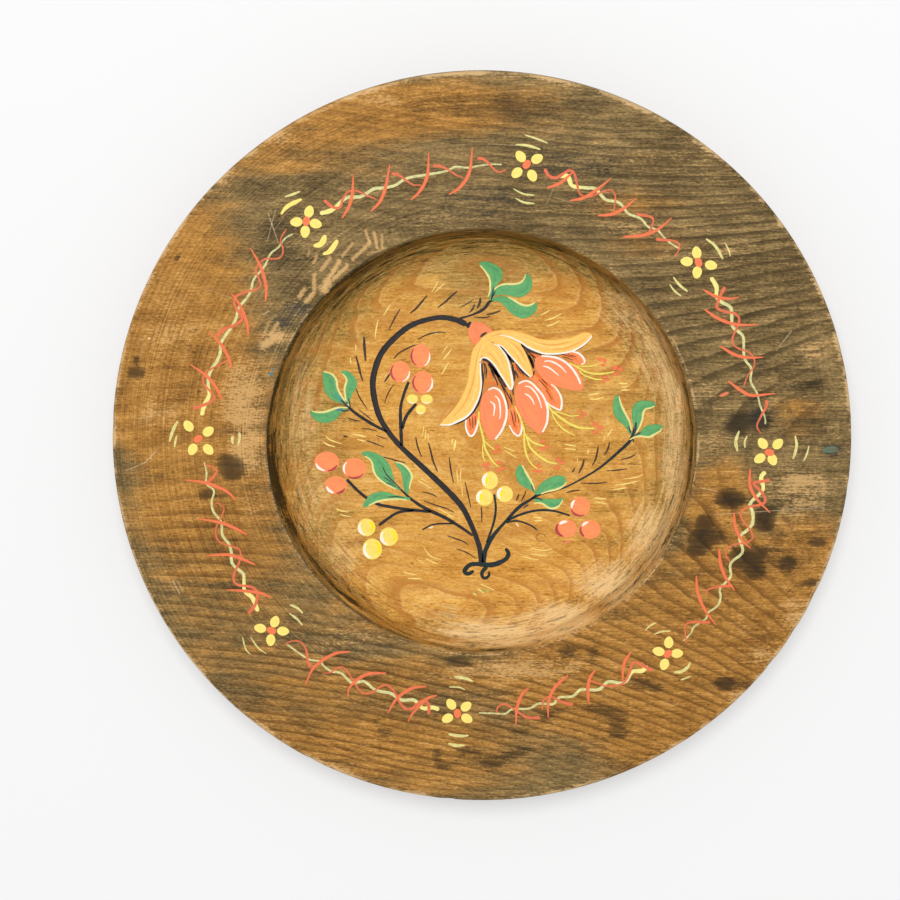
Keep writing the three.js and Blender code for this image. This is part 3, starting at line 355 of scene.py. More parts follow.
def dressWood(mesh, under=None):
    # Writes the spread of every list of spots into one channel of a colour attribute. The underside
    # (1 in under) takes only the plain stain.
    points = np.empty(len(mesh.vertices) * 3)
    mesh.vertices.foreach_get("co", points)
    x, y = points.reshape(-1, 3)[:, :2].T / mm
    for name, lists in spotLists.items():
        tones = np.stack([spread(x, y, spots) for spots in lists], axis=1)
        if under is not None:
            tones = np.where(under[:, None] > 0, plainStain[name], tones)
        mesh.attributes.new(name, "FLOAT_COLOR", "POINT").data.foreach_set("color", tones.ravel())
    if under is not None:
        mesh.attributes.new("woodUnder", "FLOAT", "POINT").data.foreach_set("value", under)


def addPiece(name, mesh, materials, nodes=()):
    # Every piece lies still on the one body, and stands for the frame's nodes that it is made over.
    piece = bpy.data.objects.new(name, mesh)
    bpy.context.scene.collection.objects.link(piece)
    for material in materials:
        mesh.materials.append(material)
    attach(piece, "root")
    if nodes:
        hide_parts(*nodes)
    return piece


woodLook = {
    # the tree's middle: how high above the plate and how far across, each as powers of x
    "axisHeight": (150, -0.054, -0.00076), "axisAcross": (7, -0.2), "ringsPerMm": 0.606,
    # clouds that bend the rings: swells per millimetre, detail, and how far they bend them
    "bends": [((0.012, 0.03, 0.03), 2, 2.6), ((0.05, 0.18, 0.18), 3, 0.9)],
    # the grain's clouds: swells per millimetre, detail and roughness
    "grain": {"fibre": ((0.12, 1.7, 1.7), 4, 0.66), "fleck": ((0.8, 2, 2), 3, 0.7),
              "mottle": ((0.09, 0.16, 0.16), 5, 0.66), "streak": ((0.02, 0.2, 0.2), 4, 0.62)},
    "pores": ((0.3, 1.3, 1.3), 2), "turningMarks": (2.1, 0.014), "wallHairs": (1.9, 0.15),
    "swirl": ((0.66, 2.4, 2.4), 3, 0.6), "rubbing": ((1.1, 1.1, 1.1), 3, 0.7),
    # steps from 0 to 1: radii, shares of a ring, or strengths
    "lip": (65.2, 66.6), "west": (60, -75), "ringLine": (0.5, 0.88), "ringBand": (0.1, 0.9),
    "ringEnd": (0.93, 1), "ringStart": (0, 0.1), "broken": (-0.24, 0.1), "lightStep": (-0.55, 0.7),
    "warmStep": (0.12, 0.88), "glowStep": (-0.02, 0.3), "tanStep": (0.25, 0.85), "gloomStep": (0.1, 0.9),
    "coalStep": (0.28, 0.6), "poreStep": (0.66, 0.74), "paleStep": (0, 1.05), "inkStep": (0.1, 0.8),
    "wall": (54, 62), "hairWall": (53, 61), "hairStep": (0.52, 0.64), "footInner": (43, 45),
    "footOuter": (54, 57), "arrisRadius": (112.6, 113.5), "arrisHeight": (20.5, 21.6),
    "ringedFloor": (40, 54), "footBroken": (-0.2, 0.2), "arrisBroken": (-0.1, 0.08),
    "grooveBroken": (-0.26, 0.08), "lipBroken": (-0.05, 0.2), "lipReach": (0.1, 0.6),
    # the radius of the painted highlight along the lip of the well
    "lipHighlight": 66.8,
    # how far each layer covers what lies under it
    "cover": {"tan": 0.66, "gloom": 0.62, "pale": 0.85, "ink": 0.66, "arris": 0.75, "lip": 0.7,
              "foot": 0.5, "pore": 0.5, "ringEdge": 0.12, "groove": 0.94, "rubbed": 0.9},
    # stains, dark and light where there are two
    "rimOlive": ((76, 60, 30), (184, 152, 98)), "rimWarm": ((122, 78, 24), (222, 162, 80)),
    "wellDusk": ((136, 102, 36), (230, 184, 106)), "wellHoney": ((194, 124, 34), (255, 204, 108)),
    "rimLine": (52, 40, 22), "rimLineWarm": (78, 46, 16), "wellLine": (172, 102, 34),
    "wellEdge": (255, 212, 136), "charcoal": (38, 33, 22), "pale": (244, 206, 146),
    # grime is painted shade with grime on the wall of the well, crease is painted shade with dirt in its
    # grooves, and wear is also the colour of the painted highlight along the lip
    "tan": (222, 178, 116), "shadeAndGrime": (88, 68, 10), "gloom": (70, 52, 24), "creaseShadeAndDirt": (40, 34, 14),
    "wear": (224, 186, 132), "scratch": (214, 190, 150), "ink": (36, 46, 50), "pore": (52, 36, 14),
    "roughness": 0.55, "shine": 0.12, "relief": 0.00012,
}


def channels(sheet, name, count):
    # The first channels of one of the colour attributes that dressWood wrote.
    colour = sheet.add("ShaderNodeAttribute", {"attribute_name": name}, output="Color")
    return [sheet.add("ShaderNodeSeparateColor", {}, {0: colour}, output=k) for k in range(count)]


def swept(sheet, radius, x, y, around):
    # Coordinates that run fast outwards and slowly round the plate, for marks that follow the lathe.
    outwards, sideways = woodLook[around]
    inputs = {0: radius * outwards, 1: x * sideways, 2: y * sideways}
    return sheet.add("ShaderNodeCombineXYZ", {}, inputs)


def woodPattern(sheet, whole=False):
    # Growth rings are cylinders about the tree's middle; part = the rest of distance * rings per mm over 1,
    # and chance = a random share for each ring. Under paint only the stained ground is needed, so the
    # rest is added for the whole board. Gives colour, roughness and height.
    look, cover = woodLook, woodLook["cover"]
    place = sheet.place()
    x, y, z = (sheet.add("ShaderNodeSeparateXYZ", {}, {0: place}, output=k) for k in range(3))
    radius = (x * x + y * y) ** 0.5
    (h, hx, hxx), (a, ax) = look["axisHeight"], look["axisAcross"]
    across, up = y - a - x * ax, z - h - x * hx - x * x * hxx
    away = (across * across + up * up) ** 0.5
    for stretch, detail, reach in look["bends"]:
        away = away + (sheet.cloud(place, stretch, detail) - 0.5) * reach
    rings = away * look["ringsPerMm"]
    onRim = sheet.ease(radius, *look["lip"])
    if whole:
        under = sheet.add("ShaderNodeAttribute", {"attribute_name": "woodUnder"}, output="Fac")
        onRim = under.maths("MAXIMUM", onRim)
    part = rings.maths("FRACT")
    ringNumber = {"W": rings.maths("FLOOR")}
    chance = sheet.add("ShaderNodeTexWhiteNoise", {"noise_dimensions": "1D"}, ringNumber)
    westward = sheet.ease(x, *look["west"]) * onRim
    fibre, fleck, mottle, streak = (sheet.cloud(place, *grain) - 0.5 for grain in look["grain"].values())
    fibre = fibre * (1 - westward * 0.45)
    along = swept(sheet, radius, x, y, "turningMarks")
    turning = sheet.cloud(along, (1, 1, 1), 1) - 0.5
    charcoal, warm, pale = channels(sheet, "woodTones", 3)
    lined, tan, gloom = channels(sheet, "woodMarks", 3)

    ending = sheet.ease(part, *look["ringEnd"])
    line = sheet.ease(part, *look["ringLine"]) * (1 - ending) * (0.5 + chance * 0.5)
    line = line * sheet.ease(fibre * 0.8 + fleck * 0.5 + streak * 0.5, *look["broken"])
    band = sheet.ease(part, *look["ringBand"]) * (1 - ending) * lined
    tone = fibre * 1.2 + fleck * 1.3 + mottle * 0.8 + streak * 0.6 + turning * (0.15 + westward * 0.45)
    light = sheet.ease(tone - band * 0.14, *look["lightStep"])
    warm = sheet.ease(warm + mottle * 0.9 + streak * 1.1, *look["warmStep"])
    rim, well = (sheet.mixed(warm, sheet.mixed(light, *look[cool]), sheet.mixed(light, *look[mellow]))
                 for cool, mellow in (("rimOlive", "rimWarm"), ("wellDusk", "wellHoney")))
    ringTone = sheet.mixed(warm, look["rimLine"], look["rimLineWarm"])
    rim = sheet.mixed(line * (0.2 + lined * 0.6), rim, ringTone)
    glow = sheet.ease(streak * 1.4 + fibre * 0.6 - mottle * 0.3, *look["glowStep"])
    ringed = line * (0.45 + sheet.ease(radius, *look["ringedFloor"]) * 0.4) + band * 0.2
    well = sheet.mixed(ringed.maths("MAXIMUM", glow * 0.6), well, look["wellLine"])
    edge = ending + 1 - sheet.ease(part, *look["ringStart"])
    well = sheet.mixed(edge * cover["ringEdge"], well, look["wellEdge"])
    colour = sheet.mixed(onRim, well, rim)
    tanned = sheet.ease(tan * 0.9 + tone * 1.5, *look["tanStep"])
    colour = sheet.mixed(tanned * cover["tan"] * onRim, colour, look["tan"])
    # Darker patches, one of them a painted shadow of a hand.
    gloomy = sheet.ease(gloom - tone * 0.6, *look["gloomStep"])
    colour = sheet.mixed(gloomy * cover["gloom"], colour, look["gloom"])
    coal = sheet.ease(charcoal - tone * 0.4 + mottle * 0.5, *look["coalStep"])
    colour = sheet.mixed(coal * (0.34 + charcoal * 0.56 + fleck * 0.7), colour, look["charcoal"])
    if whole:
        swirl = sheet.cloud(along, *look["swirl"]) - 0.5
        ragged = fleck + mottle + swirl
        marked = wallMarks(sheet, colour, x, y, radius, onRim, pale, tone, swirl, mottle, ragged)
        foot = sheet.ease(radius, *look["footInner"]) * (1 - sheet.ease(radius, *look["footOuter"]))
        foot = foot * sheet.ease(ragged, *look["footBroken"])
        plain = sheet.mixed(foot * cover["foot"], colour, look["wear"])
        colour = sheet.mixed(under, straightMarks(sheet, marked), plain)
        worn = sheet.ease(radius + tone * 2.2, *look["arrisRadius"]) * sheet.ease(z, *look["arrisHeight"])
        worn = worn * sheet.ease(mottle, *look["arrisBroken"])
        colour = sheet.mixed(worn * cover["arris"], colour, look["wear"])
        pore = sheet.ease(sheet.cloud(place, *look["pores"]), *look["poreStep"])
        colour = sheet.mixed(pore * cover["pore"], colour, look["pore"])
    return colour, look["roughness"] - tone * 0.12 + coal * 0.06, tone * 0.8 - line * 0.5


def wallMarks(sheet, colour, x, y, radius, onRim, pale, tone, swirl, mottle, ragged):
    # Pale streaks, painted shade with grime, grooves darkened with painted shade and dirt in the wall of the
    # well, and a painted highlight along the lip.
    # A groove is 1 less |radius - its own radius| over its width, within its reach of its angle.
    look, cover = woodLook, woodLook["cover"]
    shadeAndGrime, ink = (sheet.add("ShaderNodeAttribute", {"attribute_name": name}, output="Alpha")
                  for name in spotLists)
    paled = sheet.ease(pale + swirl + tone * 0.5 + ragged * 0.35, *look["paleStep"])
    colour = sheet.mixed(paled * cover["pale"] * (1 - onRim), colour, look["pale"])
    inked = sheet.ease(ink - tone * 0.9, *look["inkStep"])
    colour = sheet.mixed(inked * cover["ink"], colour, look["ink"])
    inWall = sheet.ease(radius + mottle * 10, *look["wall"]) * (1 - onRim)
    # Painted shade with grime, darkening the wall where its spots lie.
    colour = sheet.mixed(inWall * shadeAndGrime * (0.55 + swirl * 1.6 - tone * 0.6), colour, look["shadeAndGrime"])
    turn = y.maths("ARCTAN2", x)
    wobble = radius + mottle * 1.4
    cut = 0
    for degrees, reach, at, width, strength in board["creases"]:
        close = 1 - sheet.ease((wobble - at).maths("ABSOLUTE"), 0, width * 1.5)
        facing = (turn - np.radians(degrees)).maths("COSINE")
        ends = np.cos(np.radians([reach, reach * 0.4]))
        cut = cut + close * sheet.ease(facing, *ends) * strength
    cut = cut * sheet.ease(ragged, *look["grooveBroken"])
    around = swept(sheet, radius, x, y, "wallHairs")
    hairs = sheet.ease(sheet.cloud(around, (1, 1, 1), 4, 0.68) + ragged * 0.12, *look["hairStep"])
    hairs = hairs * sheet.ease(radius + mottle * 12, *look["hairWall"]) * (1 - onRim)
    cut = cut + hairs * (0.44 + shadeAndGrime * 0.3)
    # The grooves and the hairlines take one dark colour: painted shade and dirt in the grooves.
    colour = sheet.mixed((cut * 1.2).maths("MINIMUM", cover["groove"]), colour, look["creaseShadeAndDirt"])
    # A painted highlight along the lip, in the pale wear colour, left out where the painted shade lies.
    fromLip = (radius - look["lipHighlight"]).maths("ABSOLUTE")
    worn = (1 - sheet.ease(fromLip, *look["lipReach"])) * sheet.ease(ragged, *look["lipBroken"])
    return sheet.mixed(worn * (1 - shadeAndGrime) * cover["lip"], colour, look["wear"])


def straightMarks(sheet, colour):
    # Rubbed places and scratches: distance to the closest point of the line between two ends.
    vector = "ShaderNodeVectorMath"
    flat = sheet.stretched(sheet.place(), (1, 1, 0))
    ragged = sheet.cloud(flat, *woodLook["rubbing"]) - 0.5
    for marks, tint in ((rubbedMarks, "tan"), (scratchMarks, "scratch")):
        rubbed = 0
        for x0, y0, x1, y1, width, strength in marks:
            step = Vector((x1 - x0, y1 - y0, 0))
            start = sheet.add(vector, {"operation": "SUBTRACT"}, {0: flat, 1: (x0, y0, 0)})
            unit = step / step.length_squared
            share = sheet.add(vector, {"operation": "DOT_PRODUCT"}, {0: start, 1: unit}, output="Value")
            share = sheet.add("ShaderNodeClamp", {}, {0: share})
            close = sheet.add(vector, {"operation": "SCALE"}, {0: step, "Scale": share})
            near = sheet.add(vector, {"operation": "DISTANCE"}, {0: start, 1: close}, output="Value")
            fading = 1 - sheet.ease(near + ragged * width * 1.3, width * 0.1, width * 0.65)
            rubbed = rubbed + fading * strength
        rubbed = rubbed.maths("MINIMUM", woodLook["cover"]["rubbed"])
        colour = sheet.mixed(rubbed, colour, woodLook[tint])
    return colour


def makeBoard():
    x, y, z = boardPoints()
    rows, columns = x.shape
    middle = np.array([[0, 0, board["footHollow"]], [0, 0, board["floorHeight"]]])
    points = np.vstack([np.stack([x, y, z], axis=-1).reshape(-1, 3), middle]) * mm
    index = np.arange(rows * columns).reshape(rows, columns)
    after = np.roll(index, -1, axis=1)
    quads = np.stack([index[:-1], after[:-1], after[1:], index[1:]], axis=-1).reshape(-1, 4)
    bottom = np.stack([after[0], index[0], np.full(columns, rows * columns)], axis=-1)
    top = np.stack([index[-1], after[-1], np.full(columns, rows * columns + 1)], axis=-1)
    mesh = bpy.data.meshes.new("turnedPlate")
    mesh.from_pydata(points.tolist(), [], quads.tolist() + bottom.tolist() + top.tolist())
    mesh.polygons.foreach_set("use_smooth", np.ones(len(mesh.polygons), bool))
    mesh.set_sharp_from_angle(angle=board["sharpAngle"])
    under = np.repeat(np.arange(rows) < board["underRows"], columns)
    dressWood(mesh, np.append(under, [True, False]).astype(float))
    sheet = Sheet(bpy.data.materials.new("stainedWood"))
    colour, roughness, height = woodPattern(sheet, True)
    shine = {"Specular IOR Level": woodLook["shine"]}
    material = sheet.finish(colour, roughness, height, woodLook["relief"], **shine)
    return addPiece("turnedPlate", mesh, [material], ["turned_plate"])


makeBoard()
print("board turned and stained")


# Brush marks. Each is a grid of points, along and across, that lies on the wood as a thin raised film.
film = {
    # heights in millimetres: a film's body and each coat above the wood, its rim and its back below
    "body": 0.045, "coat": 0.03, "rim": 0.03, "back": 0.06,
    # rows of points along a stroke: how far apart, fewest and most
    "step": 0.5, "fewest": 7, "most": 70,
    # how much a stroke's width sways, radians of sway per millimetre, and its least share, squared
    "sway": 0.05, "swayPace": 2.1, "leastShare": 0.004,
    # where a shape's edges come closer than the gap, its row of points is spread by the sliver
    "leastGap": 0.04, "sliver": 0.014,
    # a dab longer than this has more points; how many rows, and the shares of a half turn at its ends
    "largeDab": 1.2, "dabRows": (11, 17), "dabEnds": (0.012, 0.988),
}
acrossStroke = np.array([-1, -0.85, -0.4, 0, 0.4, 0.85, 1])
acrossShape = np.array([-1, -0.95, -0.7, -0.4, -0.1, 0.2, 0.5, 0.75, 0.95, 1])


def runThrough(points, count):
    # Catmull-Rom curve through the points, with a few more samples near both ends.
    points = np.asarray(points, float)
    ends = np.vstack([2 * points[0] - points[1], points, 2 * points[-1] - points[-2]])
    along = np.linspace(0, len(points) - 1, 10 * len(points))
    span = np.minimum(along.astype(int), len(points) - 2)
    t = (along - span)[:, None]
    a, b, c, d = (ends[span + k] for k in range(4))
    square, cube = 2 * a - 5 * b + 4 * c - d, 3 * b - a - 3 * c + d
    curve = 0.5 * (2 * b + (c - a) * t + square * t ** 2 + cube * t ** 3)
    steps = np.concatenate([[0], np.cumsum(np.linalg.norm(np.diff(curve, axis=0), axis=1))])
    u = np.linspace(0, 1, count)
    u = 0.6 * u + 0.2 * (1 - np.cos(np.pi * u))
    return np.stack([np.interp(u * steps[-1], steps, curve[:, k]) for k in (0, 1)], axis=1), u, steps[-1]


def countFor(points):
    length = np.linalg.norm(np.diff(np.asarray(points, float), axis=0), axis=1).sum()
    return int(np.clip(length / film["step"], film["fewest"], film["most"]))


def brushed(path, widths, colour, coat=1):
    # Middle line plus its normal times half the width, which rounds off at both ends like a loaded brush.
    line, u, length = runThrough(path, countFor(path))
    tangent = np.gradient(line, axis=0)
    tangent /= np.linalg.norm(tangent, axis=1)[:, None]
    side = np.stack([-tangent[:, 1], tangent[:, 0]], axis=1)
    width = np.interp(u, np.linspace(0, 1, len(widths)), widths)
    away = np.minimum(u, 1 - u) * length / np.maximum(0.5 * width, 0.05)
    width = width * np.sqrt(np.clip(1 - (1 - np.minimum(away, 1)) ** 2, film["leastShare"], 1))
    width = width * (1 + film["sway"] * np.sin(u * length * film["swayPace"] + path[0][0]))
    grid = line[:, None] + side[:, None] * (width / 2)[:, None, None] * acrossStroke[:, None]
    return {"grid": grid, "across": acrossStroke, "u": u, "colour": colour, "coat": coat}


def tapered(path, width, shares, colour, coat=1):
    return brushed(path, [width * share for share in shares], colour, coat)


def between(first, second, colour, coat=1):
    # Every point of the first edge joined straight to the same share of the second.
    count = max(countFor(first), countFor(second))
    left, u, _ = runThrough(first, count)
    right, _, _ = runThrough(second, count)
    share = (acrossShape + 1) / 2
    grid = left[:, None] * (1 - share[:, None]) + right[:, None] * share[:, None]
    gap = np.linalg.norm(right - left, axis=1)
    grid[gap < film["leastGap"]] += acrossShape[:, None] * film["sliver"]
    along, over = grid[-1].mean(0) - grid[0].mean(0), (right - left).mean(0)
    if along[0] * over[1] - along[1] * over[0] < 0:
        grid = grid[:, ::-1]
    return {"grid": grid, "across": acrossShape, "u": u, "colour": colour, "coat": coat}


def dab(x, y, wide, tall, colour, coat=1, lean=0):
    # An oval with half axes wide and tall, its long edges two half turns of the same ellipse.
    large = wide > film["largeDab"]
    turn = np.linspace(*film["dabEnds"], film["dabRows"][large]) * np.pi
    c, s = np.cos(np.radians(lean)), np.sin(np.radians(lean))
    over = acrossShape if large else acrossStroke
    along = -wide * np.cos(turn)[:, None] + 0 * over
    up = tall * np.sin(turn)[:, None] * over
    grid = np.stack([x + along * c - up * s, y + along * s + up * c], axis=-1)
    return {"grid": grid, "across": over, "u": turn / np.pi, "colour": colour, "coat": coat}


def layPaint(name, marks, nodes=()):
    # One mesh of closed films: top raised by its coat, rim and back of each film sunk into the wood.
    points, quads, shades, spots = [], [], [], []
    names = sorted({mark["colour"] for mark in marks})
    start = 0
    for mark in marks:
        grid, coat = mark["grid"], mark["coat"]
        rows, columns = grid.shape[:2]
        inner = np.ones((rows, columns))
        inner[:, [0, -1]] = 0
        inner[[0, -1]] = 0
        base = surfaceHeight(np.linalg.norm(grid, axis=-1))
        top = base + inner * (film["body"] + film["coat"] * coat) - (1 - inner) * film["rim"]
        for height in (top, base - film["back"]):
            points.append(np.concatenate([grid, height[..., None]], axis=-1).reshape(-1, 3))
            u, v = np.broadcast_arrays(mark["u"][:, None], mark["across"][None] / 2 + 0.5)
            spots.append(np.stack([u, v], axis=-1).reshape(-1, 2))
        shift = rows * columns
        index = start + np.arange(shift).reshape(rows, columns)
        upper = np.stack([index[:-1, :-1], index[1:, :-1], index[1:, 1:], index[:-1, 1:]], axis=-1)
        loop = np.concatenate([index[:-1, 0], index[-1, :-1], index[:0:-1, -1], index[0, :0:-1]])
        after = np.roll(loop, -1)
        wall = np.stack([loop + shift, after + shift, after, loop], axis=-1)
        made = np.concatenate([upper.reshape(-1, 4), (upper + shift)[..., ::-1].reshape(-1, 4), wall])
        quads.append(made)
        shades.append(np.full(len(made), names.index(mark["colour"])))
        start += 2 * shift
    mesh = bpy.data.meshes.new(name)
    quads, spots = np.concatenate(quads), np.concatenate(spots)
    mesh.from_pydata((np.concatenate(points) * mm).tolist(), [], quads.tolist())
    mesh.polygons.foreach_set("material_index", np.concatenate(shades).astype(np.int32))
    mesh.uv_layers.new(name="brush").data.foreach_set("uv", spots[quads.ravel()].ravel().astype(np.float32))
    dressWood(mesh)
    return addPiece(name, mesh, [paints[n] for n in names], nodes)


# Paints: a ground colour, a second one that streaks it along the stroke, and how well it covers.
paintLook = {
    "stem": ((30, 27, 28), (54, 48, 46), 1),
    "stemGreen": ((20, 34, 38), (40, 50, 48), 1),
    "spine": ((38, 32, 34), (66, 52, 42), 0.94),
    "leaf": ((106, 178, 110), (82, 154, 96), 1),
    "leafEdge": ((246, 232, 150), (224, 220, 140), 0.95),
    "twig": ((34, 52, 62), (40, 70, 72), 0.95),
    "coral": ((253, 143, 88), (255, 156, 98), 1),
    "coralThin": ((244, 134, 94), (232, 118, 82), 0.85),
    "maroon": ((170, 48, 66), (196, 70, 74), 0.95),
    "white": ((255, 252, 242), (255, 238, 216), 0.97),
    "berryYellow": ((255, 230, 118), (252, 218, 96), 1),
    "brightYellow": ((255, 238, 10), (252, 222, 26), 1),
    "bell": ((204, 132, 58), (222, 116, 44), 0.66),
    "bellDark": ((40, 28, 24), (70, 42, 30), 0.97),
    "flame": ((246, 126, 54), (226, 88, 24), 0.9),
    "lobe": ((254, 152, 92), (255, 112, 60), 0.95),
    "ochre": ((255, 206, 108), (255, 190, 92), 1),
    "ochreDeep": ((252, 184, 88), (246, 166, 72), 0.7),
    "ochrePale": ((255, 222, 128), (255, 208, 116), 0.9),
    "bud": ((252, 138, 90), (255, 150, 92), 1),
    "calyx": ((252, 146, 94), (246, 128, 84), 1),
    "filament": ((246, 234, 110), (236, 214, 90), 0.95),
    "dot": ((250, 128, 84), (238, 110, 70), 0.9),
    "tick": ((255, 234, 142), (250, 216, 112), 0.88),
    "petal": ((254, 234, 128), (250, 222, 108), 1),
    "heart": ((248, 130, 80), (244, 118, 76), 1),
    "dash": ((240, 232, 150), (214, 206, 130), 0.88),
    "vine": ((236, 230, 160), (204, 206, 142), 0.82),
    "vineBright": ((252, 238, 142), (240, 230, 140), 0.95),
    "rimCoral": ((246, 126, 80), (236, 114, 70), 0.95),
    "rimCoralThin": ((238, 122, 82), (220, 106, 70), 0.84),
    "smudgeBlue": ((46, 118, 150), (64, 140, 140), 0.85),
    "leafTeal": ((68, 156, 140), (88, 168, 118), 1),
    "smudgeGreen": ((150, 172, 84), (130, 150, 70), 0.6),
    "smudgeTeal": ((84, 116, 100), (64, 100, 94), 0.5),
    "speck": ((255, 228, 180), (255, 214, 150), 0.7),
    "knot": ((150, 92, 40), (170, 110, 52), 0.6),
}
paintHand = {
    # brush hairs and grit as swells (over the stroke, or per millimetre), detail and roughness
    "hair": ((2.2, 9, 1), 2), "grit": ((0.9, 0.9, 0.9), 3, 0.6),
    # steps from 0 to 1: where the second colour streaks, and where the paint wears
    "streaking": (0.38, 0.66), "wearing": (0.36, 0.62), "wear": 1.5,
    "roughness": 0.45, "shine": 0.25, "relief": 0.00003,
}


def mixPaint(name, ground, streak, cover):
    # Streaks run along the brush, and where the paint is thin the stained wood shows through it,
    # the more so the farther the stroke has run.
    sheet = Sheet(bpy.data.materials.new("paint_" + name))
    run = sheet.add("ShaderNodeUVMap", {"uv_map": "brush"})
    place = sheet.place()
    hair = sheet.cloud(run, *paintHand["hair"])
    grit = sheet.cloud(place, *paintHand["grit"])
    rough = hair * 0.6 + grit * 0.4
    colour = sheet.mixed(sheet.ease(rough, *paintHand["streaking"]), ground, streak)
    if cover < 1:
        wood, _, _ = woodPattern(sheet)
        worn = sheet.ease(grit * 0.7 + hair * 0.3, *paintHand["wearing"])
        dry = sheet.add("ShaderNodeSeparateXYZ", {}, {0: run}) * 1.2 + 0.4
        colour = sheet.mixed((1 - cover) * paintHand["wear"] * worn * dry, colour, wood)
    shine = {"Specular IOR Level": paintHand["shine"]}
    roughness = paintHand["roughness"] + grit * 0.2
    return sheet.finish(colour, roughness, rough, paintHand["relief"], **shine)


paints = {name: mixPaint(name, *look) for name, look in paintLook.items()}
print("paints mixed:", len(paints))


def polar(points):
    # [degrees, radius] to [x, y].
    points = np.asarray(points, float)
    angle = np.radians(points[:, 0])
    return points[:, 1:2] * np.stack([np.cos(angle), np.sin(angle)], axis=1)


